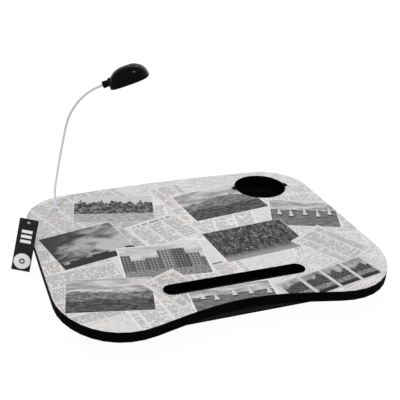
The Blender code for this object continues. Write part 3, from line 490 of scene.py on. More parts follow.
def sea(look, u, v, seed):
    """Streaked water, a dark coast and a row of sails under a cloudy sky."""
    streak = look.patch(u, v, seed, 2.6, 22.0, 3.0, 4.0, 0.65)
    water = look.ramp(streak, 0.38, 0.64, 0.06, 0.30)
    cloud = look.patch(u, v, seed + 2.0, 1.6, 3.4, 2.2, 4.0, 0.55)
    sky = look.ramp(cloud, 0.36, 0.66, 0.30, 0.66)
    coast = look.noise(look.join(u, seed, 3.0), 4.0, 3.0, 0.6)
    land = look.below(v, look.times_plus(coast, 0.22, 0.0))
    tone = look.mix(land, sky, 0.06)
    tone = look.mix(look.below(v, 0.08), tone, water)
    part = look.times_plus(u, 5.0, 20.37)
    number = look.floor(part)
    place = look.chance(number, seed, 1.0)
    across = look.size(look.minus(look.fract(part), look.times_plus(place, 0.4, 0.3)))
    foot = look.times_plus(look.chance(number, seed, 2.0), -0.22, 0.02)
    rise = look.minus(v, foot)
    sail = look.below(look.times_plus(rise, 0.55, across), 0.17)
    sail = look.times(sail, look.above(rise, 0.0))
    hull = look.times(look.below(across, 0.20),
                      look.below(look.size(look.plus(rise, 0.025)), 0.025))
    tone = look.mix(sail, tone, 0.62)
    return look.mix(hull, tone, 0.03)


def woods(look, u, v, seed):
    """A dark row of trees over a pale field."""
    crown = look.patch(u, v, seed, 14.0, 9.0, 1.5, 4.0, 0.7)
    tops = look.noise(look.join(look.times(u, 9.0), seed, 0.0), 1.4, 3.0, 0.6)
    height = look.times_plus(tops, 0.62, -0.06)
    band = look.times(look.below(v, height), look.above(v, -0.18))
    tree = look.ramp(crown, 0.42, 0.62, 0.03, 0.26)
    field = look.patch(u, v, seed, 6.0, 20.0, 2.0, 4.0, 0.7)
    base = look.mix(look.below(v, -0.12), 0.60, look.ramp(field, 0.36, 0.64, 0.24, 0.58))
    return look.mix(band, base, tree)


def clouds(look, u, v, seed):
    """A stormy sky, dark to one side, over a line of low roofs."""
    big = look.noise(look.join(u, look.times(v, 1.7), seed), 2.6, 6.0, 0.62, 0.6)
    dark = look.times_plus(u, 0.35, look.times_plus(v, -0.25, big))
    tone = look.ramp(dark, 0.32, 0.70, 0.045, 0.50)
    house = look.floor(look.times_plus(u, 13.0, 40.0))
    roof = look.times_plus(look.chance(house, seed, 0.0), 0.09, -0.38)
    return look.mix(look.below(v, roof), tone, 0.03)


def town(look, u, v, seed):
    """A street front: house by house a tone of its own, with rows of windows."""
    part = look.times_plus(u, 6.0, 30.3)
    number = look.floor(part)
    own = look.chance(number, seed, 0.0)
    high = look.times_plus(look.chance(number, seed, 5.0), 0.34, 0.02)
    wall = look.mix(own, 0.07, 0.34)
    column = look.minus(look.fract(look.times(part, 4.0)), 0.5)
    row = look.minus(look.fract(look.times(v, 13.0)), 0.5)
    window = look.times(look.below(look.size(column), 0.24), look.below(look.size(row), 0.30))
    wall = look.mix(window, wall, look.mix(look.below(own, 0.25), 0.045, 0.20))
    edge = look.below(look.fract(part), 0.06)
    wall = look.mix(edge, wall, 0.04)
    haze = look.patch(u, v, seed, 2.0, 3.0, 2.0, 4.0, 0.5)
    sky = look.ramp(haze, 0.34, 0.68, 0.44, 0.68)
    tone = look.mix(look.below(v, high), sky, wall)
    cobble = look.patch(u, v, seed, 18.0, 30.0, 1.6, 3.0, 0.7)
    return look.mix(look.below(v, -0.26), tone, look.ramp(cobble, 0.42, 0.60, 0.12, 0.38))


def thicket(look, u, v, seed):
    """Dense leaves and stems, dark with pale flecks."""
    stems = look.patch(u, v, seed, 16.0, 3.4, 1.6, 4.0, 0.7)
    flecks = look.patch(u, v, seed, 22.0, 15.0, 1.5, 3.0, 0.7)
    tone = look.ramp(stems, 0.42, 0.64, 0.03, 0.13)
    tone = look.ramp(flecks, 0.56, 0.68, tone, 0.42)
    return look.ramp(v, -0.26, -0.46, tone, 0.30)


def frames(look, u, v, seed):
    """A strip of small dark frames, each with a lake under a ridge."""
    part = look.plus(look.times(u, 4.0), 30.0)
    across = look.minus(look.fract(part), 0.5)
    number = look.floor(part)
    bar = look.above(look.size(across), 0.43)
    own = look.plus(number, seed)
    ridge = look.noise(look.join(across, own, 0.0), 2.6, 4.0, 0.6)
    grain = look.noise(look.join(across, look.times(v, 2.6), own), 9.0, 4.0, 0.7)
    haze = look.noise(look.join(across, v, own), 3.0, 3.0, 0.5)
    sky = look.ramp(haze, 0.34, 0.66, 0.20, 0.46)
    land = look.below(v, look.times_plus(ridge, 0.9, -0.24))
    tone = look.mix(land, sky, look.ramp(grain, 0.40, 0.62, 0.03, 0.13))
    tone = look.mix(look.below(v, -0.14), tone, look.ramp(grain, 0.42, 0.60, 0.10, 0.36))
    tone = look.mix(look.below(v, -0.34), tone, 0.03)
    return look.mix(bar, tone, 0.60)


def make_print(zone):
    look = Collage("printed_top", zone)
    # From the lowest layer up, each with its middle, turn in degrees, width and height
    look.page((-0.155, 0.135), 22.0, 0.200, 0.130, 1.0, ink=0.68, paper=0.69)
    look.ruled((0.080, 0.165), -9.0, 0.260, 0.110, 2.0, pitch=0.0072, paper=0.75)
    look.page((0.190, 0.020), 78.0, 0.240, 0.120, 3.0, ink=0.62, paper=0.77)
    look.page((-0.190, -0.040), -84.0, 0.220, 0.110, 4.0, ink=0.72, paper=0.70)
    look.page((0.020, 0.060), -12.0, 0.170, 0.120, 5.0, ink=0.68, paper=0.78, pitch=0.0030)
    look.ruled((0.150, -0.130), 18.0, 0.180, 0.120, 6.0, pitch=0.0066, paper=0.73)
    look.page((-0.060, -0.120), 8.0, 0.200, 0.110, 7.0, ink=0.68, paper=0.75, head=0.008)
    look.page((-0.100, 0.060), -31.0, 0.090, 0.120, 8.0, ink=0.80, paper=0.62, column=0.027)
    look.print_of((-0.098, 0.134), -14.0, 0.122, 0.086, woods, 11.0, border=0.0007)
    look.page((0.006, 0.150), 12.0, 0.060, 0.080, 9.0, ink=0.76, paper=0.73, column=0.026)
    look.print_of((0.070, 0.112), 7.0, 0.128, 0.092, hills, 12.0)
    look.print_of((0.182, 0.036), -21.0, 0.104, 0.084, sea, 13.0)
    look.print_of((-0.162, 0.036), 12.0, 0.112, 0.094, clouds, 14.0, border=0.0007)
    look.page((-0.046, 0.046), 17.0, 0.092, 0.076, 15.0, ink=0.76, paper=0.73, column=0.028,
              head=0.007)
    look.print_of((-0.072, -0.036), -7.0, 0.118, 0.084, town, 20.0)
    look.print_of((0.074, -0.018), 5.0, 0.132, 0.086, thicket, 17.0, border=0.0007)
    look.page((0.176, -0.064), 29.0, 0.070, 0.096, 10.0, ink=0.76, paper=0.69, column=0.030)
    look.print_of((-0.166, -0.096), -13.0, 0.112, 0.076, hills, 16.0, border=0.0007)
    look.page((-0.078, -0.108), 24.0, 0.056, 0.080, 21.0, ink=0.80, paper=0.67, column=0.024)
    look.print_of((0.128, -0.146), 12.0, 0.150, 0.046, frames, 18.0, border=0.0030, rim=0.60)
    look.print_of((-0.014, -0.146), -5.0, 0.112, 0.052, sea, 19.0)

    grain = look.noise(look.point, 1400.0, 2.0, 0.6)
    fibre = look.noise(look.point, 55.0, 4.0, 0.6)
    wear = look.noise(look.point, 210.0, 4.0, 0.7)
    tone = look.times(look.tone, look.mix(grain, 0.80, 1.20))
    tone = look.times(tone, look.mix(fibre, 0.88, 1.10))
    tone = look.times(tone, look.ramp(wear, 0.30, 0.52, 0.80, 1.0))
    warm = look.noise(look.point, 26.0, 2.0, 0.5)
    color = look.node("CombineColor")
    look.put(color.inputs[0], look.times(tone, look.ramp(warm, 0.5, 0.75, 1.012, 1.06)))
    look.put(color.inputs[1], tone)
    look.put(color.inputs[2], look.times(tone, 0.985))
    normal = look.split(look.node("NewGeometry").outputs["Normal"])
    upward = look.step(normal[2], 0.3, 0.7)
    look.bump(look.noise(look.point, 900.0, 2.0, 0.5), 0.10, 0.0002)
    return look.finish(look.blend(upward, grey(0.006), color.outputs[0]), 0.52, level=0.05)


def make_top():
    """The printed sheet in one piece, with a material for each zone."""
    top = new_piece("printed_sheet", NODES["print_sheet"].data.copy(), make_print(ZONES[0]))
    for zone in ZONES[1:]:
        top.data.materials.append(make_print(zone))
    bm = bmesh.new()
    bm.from_mesh(top.data)
    bmesh.ops.remove_doubles(bm, verts=bm.verts, dist=MERGE_DISTANCE)
    for low, _ in ZONES[1:]:
        bmesh.ops.bisect_plane(bm, geom=bm.verts[:] + bm.edges[:] + bm.faces[:],
                               plane_co=(low, 0.0, 0.0), plane_no=(1.0, 0.0, 0.0))
    for face in bm.faces:
        x = face.calc_center_median().x
        face.material_index = [i for i, (low, high) in enumerate(ZONES) if low <= x <= high][0]
        face.smooth = False
    bm.to_mesh(top.data)
    bm.free()
    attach(top, "base")
    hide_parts("print_sheet")


# Plain looks
def make_foam():
    look = Look("black_foam")
    point = look.place()
    cells = look.node("TexVoronoi", feature="F1")
    look.put(cells.inputs["Vector"], point)
    cells.inputs["Scale"].default_value = 1300.0
    speck = look.noise(point, 700.0, 3.0, 0.7)
    tone = look.ramp(speck, 0.55, 0.75, 0.0010, 0.0040)
    look.bump(cells.outputs["Distance"], 0.35, 0.0003)
    color = look.join(tone, tone, look.times(tone, 1.08))
    return look.finish(color, 0.85, level=0.02)


def make_fabric():
    """Plain-weave black polyester, with threads two to a millimetre."""
    look = Look("black_weave")
    point = look.place()
    x, y, z = look.split(point)
    warp = look.sum("SINE", look.times(look.plus(x, y), THREAD_WAVE))
    slant = look.minus(look.minus(x, y), look.times(z, 1.3))
    weft = look.sum("SINE", look.times(slant, THREAD_WAVE))
    weave = look.times(warp, weft)
    wear = look.noise(point, 60.0, 4.0, 0.6)
    tone = look.mix(wear, 0.0036, 0.0085)
    tone = look.times(tone, look.ramp(weave, -0.6, 0.8, 0.75, 1.2))
    look.bump(weave, 0.30, 0.0003)
    look.shader.inputs["Sheen Weight"].default_value = 0.05
    look.shader.inputs["Sheen Roughness"].default_value = 0.5
    return look.finish(look.join(tone, tone, look.times(tone, 1.06)), 0.88, level=0.08)


def make_plastic(name, tone, roughness, level, texture):
    look = Look(name)
    point = look.place()
    fine = look.noise(point, 1500.0, 2.0, 0.6)
    broad = look.noise(point, 40.0, 3.0, 0.5)
    shade = look.mix(broad, tone * 0.85, tone * 1.15)
    look.bump(fine, texture, 0.0002)
    rough = look.mix(broad, roughness * 0.92, roughness * 1.08)
    return look.finish(look.join(shade, shade, look.times(shade, 1.05)), rough, level=level)


def make_gloss():
    """Polished black with so faint a mirror that it stays dark at a slant."""
    look = Look("gloss_black")
    broad = look.noise(look.place(), 40.0, 3.0, 0.5)
    shade = look.mix(broad, 0.0003, 0.0007)
    return look.finish(look.join(shade, shade, shade), look.mix(broad, 0.12, 0.14), level=0.06)


def make_metal(name, tone, roughness):
    look = Look(name)
    point = look.place()
    brush = look.noise(point, 800.0, 2.0, 0.6)
    rough = look.mix(brush, roughness * 0.8, roughness * 1.2)
    look.bump(brush, 0.05, 0.0001)
    return look.finish(look.blend(brush, grey(tone * 0.94), grey(tone)), rough, metallic=1.0)


def make_neck_look():
    """Pale coated gooseneck, with the faint rings of its coil and painted shade that darkens it
    from the foot up towards the head.
    """
    look = Look("pale_gooseneck")
    point = look.place()
    _, _, z = look.split(point)
    coil = look.sum("SINE", look.times(z, COIL_WAVE))
    # painted light and shade: pale near the foot, darker towards the head by height, plus a random
    # mottle of the coating's own tone
    height_shade_and_mottle = look.plus(look.step(z, 0.08, 0.24), look.times(look.noise(point, 90.0, 2.0, 0.5), 0.12))
    look.bump(coil, 0.18, 0.0002)
    color = look.blend(height_shade_and_mottle, (0.86, 0.80, 0.85, 1.0), (0.60, 0.58, 0.60, 1.0))
    return look.finish(color, 0.40, level=0.35)


def make_clear():
    look = Look("clear_lens")
    look.shader.inputs["Transmission Weight"].default_value = 0.9
    look.shader.inputs["IOR"].default_value = 1.49
    rings = look.noise(look.place(), 500.0, 2.0, 0.5)
    look.bump(rings, 0.15, 0.0002)
    return look.finish(grey(0.92), 0.12)


def tag_frame():
    """The tag's middle and its two directions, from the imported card."""
    co = [v.co.copy() for v in NODES["tag_card"].data.vertices]
    middle = sum(co, Vector()) / len(co)
    level = Vector((math.cos(TAG_TURN), math.sin(TAG_TURN), 0.0))
    inward = Vector((-math.sin(TAG_TURN), math.cos(TAG_TURN), 0.0))
    steep = inward * math.sin(TAG_LEAN) + Vector((0.0, 0.0, math.cos(TAG_LEAN)))
    across = level * math.cos(TAG_ROLL) - steep * math.sin(TAG_ROLL)
    up = level * math.sin(TAG_ROLL) + steep * math.cos(TAG_ROLL)
    for direction in (across, up):
        reach = [p.dot(direction) for p in co]
        middle += direction * ((min(reach) + max(reach)) / 2 - middle.dot(direction))
    return middle, across, up


def make_card():
    """Black coated card with a plain white disc and plain bars."""
    look = Look("tag_card")
    point = look.place()
    middle, across, up = tag_frame()
    offset = look.node("VectorMath", operation="SUBTRACT")
    look.put(offset.inputs[0], point)
    offset.inputs[1].default_value = middle
    sides = []
    for direction in (across, up):
        dot = look.node("VectorMath", operation="DOT_PRODUCT")
        look.put(dot.inputs[0], offset.outputs[0])
        dot.inputs[1].default_value = direction
        sides.append(dot.outputs["Value"])
    x, y = sides
    low = look.plus(y, TAG_DISC_DROP)
    disc = look.sum("SQRT", look.plus(look.times(x, x), look.times(low, low)))
    mark = look.step(disc, *TAG_DISC_EDGE)
    ring = look.step(look.size(look.minus(disc, TAG_RING_RADIUS)), *TAG_RING_EDGE)
    mark = look.times(mark, look.minus(1.0, ring))
    bar_place = look.minus(y, TAG_BARS_RISE)
    row = look.fract(look.plus(look.over(bar_place, TAG_BAR_PITCH), 10.5))
    bar = look.below(look.size(look.minus(row, 0.5)), 0.30)
    rows = look.below(look.size(bar_place), TAG_BARS_HALF_HEIGHT)
    wide = look.below(look.size(x), TAG_BARS_HALF_WIDTH)
    mark = look.sum("MAXIMUM", mark, look.times(look.times(bar, rows), wide))
    fibre = look.noise(point, 300.0, 3.0, 0.6)
    look.bump(fibre, 0.08, 0.0002)
    black = look.blend(fibre, grey(0.010), grey(0.024))
    return look.finish(look.blend(mark, black, grey(0.94)), 0.6, level=0.10)


# Helpers for meshes and objects
def mesh_of(name, bm):
    mesh = bpy.data.meshes.new(name)
    bm.to_mesh(mesh)
    bm.free()
    return mesh


def add_object(name, data):
    obj = bpy.data.objects.new(name, data)
    bpy.context.scene.collection.objects.link(obj)
    return obj


def coat(obj, look):
    obj.data.materials.clear()
    obj.data.materials.append(look)


def dress(node, look):
    """Give a carried-over node its material."""
    coat(NODES[node], look)


def new_piece(name, mesh, look):
    obj = add_object(name, mesh)
    coat(obj, look)
    return obj


def bake(obj):
    """Apply an object's modifiers."""
    graph = bpy.context.evaluated_depsgraph_get()
    bpy.context.view_layer.update()
    mesh = bpy.data.meshes.new_from_object(obj.evaluated_get(graph), depsgraph=graph)
    obj.modifiers.clear()
    obj.data = mesh


def carve(obj, *steps):
    """Join to an object, or take from it, each cutter in turn."""
    for operation, cutter in steps:
        step = obj.modifiers.new("carve", "BOOLEAN")
        step.operation = operation
        step.object = cutter
    bake(obj)
    for _, cutter in steps:
        bpy.data.objects.remove(cutter, do_unlink=True)


# Gooseneck
def neck_lean(share):
    for (s0, a0), (s1, a1) in zip(NECK_LEANS, NECK_LEANS[1:]):
        if share <= s1:
            return a0 + (a1 - a0) * (share - s0) / (s1 - s0)
    return NECK_LEANS[-1][1]


def neck_direction(length):
    a = math.radians(neck_lean(length / NECK_LENGTH))
    return Vector((math.sin(a) * math.cos(NECK_TURN), math.sin(a) * math.sin(NECK_TURN),
                   math.cos(a)))


def neck_side():
    """The direction square to the gooseneck's own plane."""
    return Vector((-math.sin(NECK_TURN), math.cos(NECK_TURN), 0.0))


def neck_point(length):
    point = Vector((*LAMP, TRAY_TOP))
    count = max(1, math.ceil(length / NECK_STEP))
    step = length / count
    for i in range(count):
        point = point + neck_direction((i + 0.5) * step) * step
    return point


def neck_station(index):
    return SLEEVE_HEIGHT + index * (NECK_LENGTH - SLEEVE_HEIGHT) / (NECK_JOINTS + 1)


def neck_piece(name, start, end, look):
    """A smooth round length of gooseneck with closed ends."""
    bm = bmesh.new()
    count = max(NECK_FEWEST_RINGS, round((end - start) / NECK_RING_GAP))
    side = neck_side()
    turns = [2 * math.pi * j / NECK_SIDES for j in range(NECK_SIDES)]
    rows = []
    for i in range(count + 1):
        s = start + (end - start) * i / count
        centre, ahead = neck_point(s), neck_direction(s)
        other = ahead.cross(side)
        rows.append([bm.verts.new(centre + NECK_RADIUS * (side * math.cos(t) + other * math.sin(t)))
                     for t in turns])
    for a, b in zip(rows, rows[1:]):
        for j in range(NECK_SIDES):
            k = (j + 1) % NECK_SIDES
            bm.faces.new((a[j], a[k], b[k], b[j])).smooth = True
    bm.faces.new(rows[0])
    bm.faces.new(rows[-1])
    bmesh.ops.recalc_face_normals(bm, faces=bm.faces)
    return new_piece(name, mesh_of(name, bm), look)


def make_neck(look):
    half = (NECK_LENGTH - SLEEVE_HEIGHT) / (NECK_JOINTS + 1) / 2
    seat = SLEEVE_HEIGHT - SLEEVE_BORE_DEPTH + NECK_GAP
    piece = neck_piece("gooseneck_foot", seat, neck_station(1) - half, look)
    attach(piece, "lamp_foot")
    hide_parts("neck_link_0")
    for k in range(1, NECK_JOINTS + 1):
        joint = neck_station(k)
        piece = neck_piece("gooseneck_%d" % k, joint - half, joint + half, look)
        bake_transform(piece)
        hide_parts("neck_link_%d" % k)
    end = NECK_LENGTH + BOSS_BORE_DEPTH - NECK_GAP
    piece = neck_piece("gooseneck_top", neck_station(NECK_JOINTS) + half, end, look)
    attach(piece, "lamp_head")


# Cushion
def corner_arc(corner, before, after, radius, steps):
    corner, before, after = Vector(corner), Vector(before), Vector(after)
    u, v = (before - corner).normalized(), (after - corner).normalized()
    half = u.angle(v) / 2
    centre = corner + (u + v).normalized() * (radius / math.sin(half))
    start = corner + u * (radius / math.tan(half)) - centre
    end = corner + v * (radius / math.tan(half)) - centre
    first = math.atan2(start.y, start.x)
    sweep = (math.atan2(end.y, end.x) - first + math.pi) % (2 * math.pi) - math.pi
    turns = [first + sweep * i / steps for i in range(steps + 1)]
    return [centre + radius * Vector((math.cos(t), math.sin(t))) for t in turns]


def cushion_outline(inset, steps=16, fills=40):
    h, f, b = CUSHION_HALF - inset, CUSHION_FRONT - inset, CUSHION_BACK - inset
    corners = ((-h, -f), (h, -f), (h, b), (-h, b))
    radii = (CUSHION_FRONT_RADIUS - inset,) * 2 + (CUSHION_BACK_RADIUS - inset,) * 2
    arcs = [corner_arc(corners[i], corners[i - 1], corners[(i + 1) % 4], radii[i], steps)
            for i in range(4)]
    points = []
    for i in range(4):
        points.extend(arcs[i])
        a, c = arcs[i][-1], arcs[(i + 1) % 4][0]
        points.extend(a.lerp(c, j / fills) for j in range(1, fills))
    return points


def loft(name, rings):
    bm = bmesh.new()
    rows = [[bm.verts.new(p) for p in ring] for ring in rings]
    count = len(rows[0])
    for a, b in zip(rows, rows[1:]):
        for i in range(count):
            k = (i + 1) % count
            bm.faces.new((a[i], a[k], b[k], b[i]))
    bm.faces.new(rows[0])
    bm.faces.new(list(reversed(rows[-1])))
    bmesh.ops.recalc_face_normals(bm, faces=bm.faces)
    return mesh_of(name, bm)


def swell(obj):
    """Blow the cushion up a little, with its top plate and seam held."""
    group = obj.vertex_groups.new(name="held")
    for vert in obj.data.vertices:
        if vert.co.z > CUSHION_HIGH - HELD_UNDER_TOP or vert.co.z < HELD_OVER_FLOOR:
            group.add([vert.index], 1.0, "REPLACE")
        elif abs(vert.co.z - CUSHION_SEAM) < HELD_BY_SEAM:
            group.add([vert.index], SEAM_HOLD, "REPLACE")
    rest = [v.co.copy() for v in obj.data.vertices]
    cloth = obj.modifiers.new("cloth", "CLOTH")
    cloth.settings.vertex_group_mass = "held"
    cloth.settings.use_pressure = True
    cloth.settings.uniform_pressure_force = 4.0
    cloth.settings.tension_stiffness = 8.0
    cloth.settings.compression_stiffness = 8.0
    cloth.settings.bending_stiffness = 0.6
    cloth.settings.effector_weights.gravity = 0.0
    cloth.point_cache.frame_start = 1
    cloth.point_cache.frame_end = CLOTH_FRAMES
    scene = bpy.context.scene
    for number in range(1, CLOTH_FRAMES + 1):
        scene.frame_set(number)
    bake(obj)
    scene.frame_set(1)
    for vert, was in zip(obj.data.vertices, rest):
        move = vert.co - was
        if move.length > CUSHION_CAP:
            vert.co = was + move * (CUSHION_CAP / move.length)
    keep_in_height(obj)


def keep_in_height(obj):
    for vert in obj.data.vertices:
        vert.co.z = min(max(vert.co.z, 0.0), CUSHION_HIGH)


def pocket_cutter():
    """The room that the cup well and the lamp's nut take in the cushion."""
    bm = bmesh.new()
    for place, radius, low, high, sides in (
            (CUP, CUP_POCKET_RADIUS, CUP_POCKET_LOW, CUSHION_HIGH + POCKET_PAST_TOP, 64),
            (LAMP, NUT_POCKET_RADIUS, NUT_POCKET_LOW, NUT_POCKET_HIGH, 32)):
        depth = high - low
        bmesh.ops.create_cone(bm, cap_ends=True, segments=sides, radius1=radius, radius2=radius,
                              depth=depth, matrix=Matrix.Translation((*place, low + depth / 2)))
    return add_object("pocket", mesh_of("pocket", bm))


def make_cushion(look):
    rings = [[(p.x, p.y, z) for p in cushion_outline(inset)] for z, inset in CUSHION_LEVELS]
    cushion = new_piece("cushion", loft("cushion", rings), look)
    mesher = cushion.modifiers.new("remesh", "REMESH")
    mesher.mode = "VOXEL"
    mesher.voxel_size = CUSHION_VOXEL
    bake(cushion)
    swell(cushion)
    relax = cushion.modifiers.new("relax", "SMOOTH")
    relax.factor = 0.5
    relax.iterations = 4
    bake(cushion)
    keep_in_height(cushion)
    finer = cushion.modifiers.new("finer", "SUBSURF")
    finer.levels = finer.render_levels = 1
    bake(cushion)
    for polygon in cushion.data.polygons:
        polygon.use_smooth = True
    carve(cushion, ("DIFFERENCE", pocket_cutter()))
    coat(cushion, look)
    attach(cushion, "base")
    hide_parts("cushion_side_band", "cushion_bottom_panel", "bead_fill",
                "cushion_top_panel")
    return cushion


def make_seam(cushion, look):
    """The piped seam between the cushion's side band and its underside."""
    bpy.context.view_layer.update()
    points = []
    for p in cushion_outline(0.0, steps=12, fills=24):
        start = Vector((p.x * SEAM_RAY_START, p.y * SEAM_RAY_START, CUSHION_SEAM))
        aim = Vector((p.x * SEAM_RAY_AIM, p.y * SEAM_RAY_AIM, CUSHION_SEAM))
        found, where, normal, _ = cushion.ray_cast(start, (aim - start).normalized())
        if found:
            points.append(where + normal * PIPING_PROUD)
    data = bpy.data.curves.new("cushion_seam", "CURVE")
    data.dimensions = "3D"
    data.bevel_depth = PIPING_RADIUS
    data.bevel_resolution = 2
    spline = data.splines.new("POLY")
    spline.points.add(len(points) - 1)
    for point, co in zip(spline.points, points):
        point.co = (*co, 1.0)
    spline.use_cyclic_u = True
    curve = add_object("cushion_seam_path", data)
    bpy.context.view_layer.update()
    graph = bpy.context.evaluated_depsgraph_get()
    mesh = bpy.data.meshes.new_from_object(curve.evaluated_get(graph))
    bpy.data.objects.remove(curve, do_unlink=True)
    for polygon in mesh.polygons:
        polygon.use_smooth = True
    seam = new_piece("cushion_seam", mesh, look)
    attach(seam, "base")


# Lamp head
def head_matrix():
    x, y = neck_direction(NECK_LENGTH), neck_side()
    turn = Matrix((x, y, x.cross(y))).transposed().to_4x4()
    return Matrix.Translation(neck_point(NECK_LENGTH)) @ turn


def on_rounded(c, s, roundness):
    """A circle's point moved out to a rounded square, with the points kept evenly spread."""
    power = 2 / roundness
    reach = (abs(c) ** power + abs(s) ** power) ** (-1 / power)
    return c * reach, s * reach


def head_dome(shrink, steps=96, rows=36):
    """The head's rounded form above its underside, a layer inside its outer face."""
    bm = bmesh.new()
    bmesh.ops.create_uvsphere(bm, u_segments=steps, v_segments=2 * rows, radius=1.0)
    for vert in bm.verts:
        around = math.atan2(vert.co.y, vert.co.x)
        ring, high = on_rounded(math.hypot(vert.co.x, vert.co.y), vert.co.z, HEAD_ROOF_ROUNDNESS)
        x, y = on_rounded(math.cos(around), math.sin(around), HEAD_PLAN_ROUNDNESS)
        vert.co = (HEAD_REAR + HEAD_LENGTH / 2 + (HEAD_LENGTH / 2 - shrink) * ring * x,
                   (HEAD_WIDTH / 2 - shrink) * ring * y,
                   HEAD_UNDERSIDE + (HEAD_HEIGHT - shrink) * high)
    return bm


def head_form(name, bm):
    obj = add_object(name, mesh_of(name, bm))
    obj.matrix_world = head_matrix()
    return obj


def cylinder(radius, length, middle, along_x=False, steps=48):
    bm = bmesh.new()
    turn = Matrix.Rotation(math.pi / 2, 4, "Y") if along_x else Matrix.Identity(4)
    bmesh.ops.create_cone(bm, cap_ends=True, segments=steps, radius1=radius, radius2=radius,
                          depth=length, matrix=Matrix.Translation(middle) @ turn)
    return bm


def turned_boss(steps=64):
    """The collar that takes the gooseneck, flared where it meets the shell."""
    bm = bmesh.new()
    verts = [bm.verts.new((x, 0.0, radius)) for radius, x in BOSS_PROFILE]
    edges = [bm.edges.new(pair) for pair in zip(verts, verts[1:])]
    bmesh.ops.spin(bm, geom=verts + edges, cent=(0.0, 0.0, 0.0), axis=(1.0, 0.0, 0.0),
                   angle=2 * math.pi, steps=steps, use_merge=True)
    bmesh.ops.remove_doubles(bm, verts=bm.verts, dist=MERGE_DISTANCE)
    bmesh.ops.recalc_face_normals(bm, faces=bm.faces)
    return bm


def settle(obj, look):
    """Put a finished piece of the head in its place, smooth but for its edges."""
    obj.data.transform(head_matrix())
    obj.matrix_world = Matrix.Identity(4)
    obj.data.shade_smooth()
    obj.data.set_sharp_from_angle(angle=SHARP_ANGLE)
    coat(obj, look)


def make_head(look):
    """The head's upper shell, smooth, with its boss and its button hole."""
    shell = head_form("lamp_head_shell", head_dome(0.0))
    slab = bmesh.new()
    slab_middle = (HEAD_SLAB_X, 0.0, HEAD_SHELL_LOW - HEAD_SLAB_SIZE / 2)
    bmesh.ops.create_cube(slab, size=HEAD_SLAB_SIZE, matrix=Matrix.Translation(slab_middle))
    bore = cylinder(NECK_RADIUS + NECK_GAP, NECK_BORE_LENGTH, (NECK_BORE_X, 0.0, 0.0),
                    along_x=True)
    hole = cylinder(BUTTON_HOLE_RADIUS, BUTTON_HOLE_LENGTH, (BUTTON_X, 0.0, BUTTON_HOLE_HEIGHT))
    carve(shell,
          ("UNION", head_form("cutter_boss", turned_boss())),
          ("DIFFERENCE", head_form("cutter_inside", head_dome(HEAD_WALL, steps=64, rows=24))),
          ("DIFFERENCE", head_form("cutter_slab", slab)),
          ("DIFFERENCE", head_form("cutter_bore", bore)),
          ("DIFFERENCE", head_form("cutter_hole", hole)))
    settle(shell, look)
    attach(shell, "lamp_head")
    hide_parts("head_shell")


def make_button(look):
    """The push button, whose crown follows the roof around it."""
    blank = cylinder(BUTTON_RADIUS, BUTTON_BLANK, (BUTTON_X, 0.0, BUTTON_LOW + BUTTON_BLANK / 2),
                     steps=64)
    button = head_form("push_button_cap", blank)
    carve(button, ("INTERSECT", head_form("cutter_crown", head_dome(-BUTTON_PROUD))))
    soft = button.modifiers.new("soften", "BEVEL")
    soft.width = BUTTON_ROUNDING
    soft.segments = 3
    soft.limit_method = "ANGLE"
    soft.angle_limit = BUTTON_ROUNDED_FROM
    bake(button)
    settle(button, look)
    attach(button, "button")
    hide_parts("push_button")


# Room and camera
def seen(tree):
    """One on rays from the camera, from mirrors and through clear plastic, else nought."""
    rays = tree.nodes.new("ShaderNodeLightPath").outputs
    result = rays["Is Camera Ray"]
    for name in ("Is Glossy Ray", "Is Transmission Ray"):
        larger = tree.nodes.new("ShaderNodeMath")
        larger.operation = "MAXIMUM"
        tree.links.new(result, larger.inputs[0])
        tree.links.new(rays[name], larger.inputs[1])
        result = larger.outputs[0]
    return result


def make_floor():
    bm = bmesh.new()
    bmesh.ops.create_grid(bm, x_segments=1, y_segments=1, size=FLOOR_HALF)
    floor = add_object("floor", mesh_of("floor", bm))
    floor.location.z = -FLOOR_DROP
    look = Look("floor")
    look.finish(grey(0.86), 0.9, level=0.0)
    glow = look.node("Emission")
    glow.inputs["Strength"].default_value = FLOOR_GLOW
    both = look.node("MixShader")
    look.put(both.inputs[0], look.times(seen(look.tree), FLOOR_GLOW_SHARE))
    look.put(both.inputs[1], look.shader.outputs[0])
    look.put(both.inputs[2], glow.outputs[0])
    look.put(look.tree.nodes["Material Output"].inputs["Surface"], both.outputs[0])
    floor.data.materials.append(look.material)


def make_world():
    """Even white light, white also where it is seen."""
    world = bpy.data.worlds.new("world")
    bpy.context.scene.world = world
    world.use_nodes = True
    tree = world.node_tree
    background = tree.nodes["Background"]
    background.inputs["Color"].default_value = grey(1.0)
    strength = tree.nodes.new("ShaderNodeMapRange")
    tree.links.new(seen(tree), strength.inputs["Value"])
    strength.inputs["To Min"].default_value = WORLD_LIGHT
    strength.inputs["To Max"].default_value = 1.0
    tree.links.new(strength.outputs["Result"], background.inputs["Strength"])


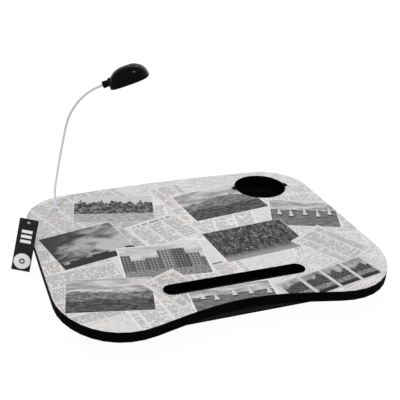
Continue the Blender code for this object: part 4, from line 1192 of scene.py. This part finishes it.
def make_lamps():
    for name, place, size, power in LAMPS:
        data = bpy.data.lights.new(name, "AREA")
        data.shape = "DISK"
        data.size = size
        data.energy = power
        lamp = add_object(name, data)
        lamp.location = place
        lamp.rotation_euler = (Vector(LAMP_AIM) - Vector(place)).to_track_quat("-Z", "Y").to_euler()


def make_camera():
    data = bpy.data.cameras.new("camera")
    data.lens = CAMERA_LENS
    data.sensor_width = CAMERA_SENSOR
    data.clip_start, data.clip_end = CAMERA_REACH
    camera = add_object("camera", data)
    turn = Matrix((CAMERA_RIGHT, CAMERA_UP, CAMERA_BACK)).transposed()
    camera.matrix_world = Matrix.Translation(CAMERA_PLACE) @ turn.to_4x4()
    bpy.context.scene.camera = camera


make_camera()
make_floor()
make_world()
make_lamps()
bpy.context.scene.view_settings.view_transform = "Standard"

make_top()
fabric = make_fabric()
gloss = make_gloss()
black = make_plastic("black_plastic", tone=0.0010, roughness=0.60, level=0.03, texture=0.10)
satin = make_plastic("satin_black", tone=0.0020, roughness=0.48, level=0.12, texture=0.10)
panel = make_plastic("panel_black", tone=0.0050, roughness=0.70, level=0.20, texture=0.15)
pale = make_plastic("pale_sleeve", tone=0.82, roughness=0.35, level=0.45, texture=0.03)
nylon = make_plastic("nylon", tone=0.34, roughness=0.35, level=0.40, texture=0.03)
resin = make_plastic("led_resin", tone=0.80, roughness=0.2, level=0.5, texture=0.01)
circuit = make_plastic("circuit_board", tone=0.05, roughness=0.5, level=0.4, texture=0.05)
bright = make_metal("bright_metal", tone=0.72, roughness=0.22)

dress("foam_board", make_foam())
dress("base_panel", panel)
dress("lamp_socket", make_metal("socket_ring", tone=0.50, roughness=0.42))
dress("lamp_foot", pale)
dress("lens", make_clear())
dress("reflector", make_metal("reflector", tone=0.85, roughness=0.12))
dress("led", resin)
dress("circuit_board", circuit)
dress("tag_card", make_card())
dress("tag_pin", nylon)
for node in ("cup_insert", "switch_body", "switch_plunger"):
    dress(node, black)
for node in ("head_base", "battery_door"):
    dress(node, satin)
for node in ("socket_nut", "battery_cell_1", "battery_cell_2", "contact_plate", "contact_clip"):
    dress(node, bright)

make_neck(make_neck_look())
make_head(gloss)
make_button(gloss)
make_seam(make_cushion(fabric), fabric)
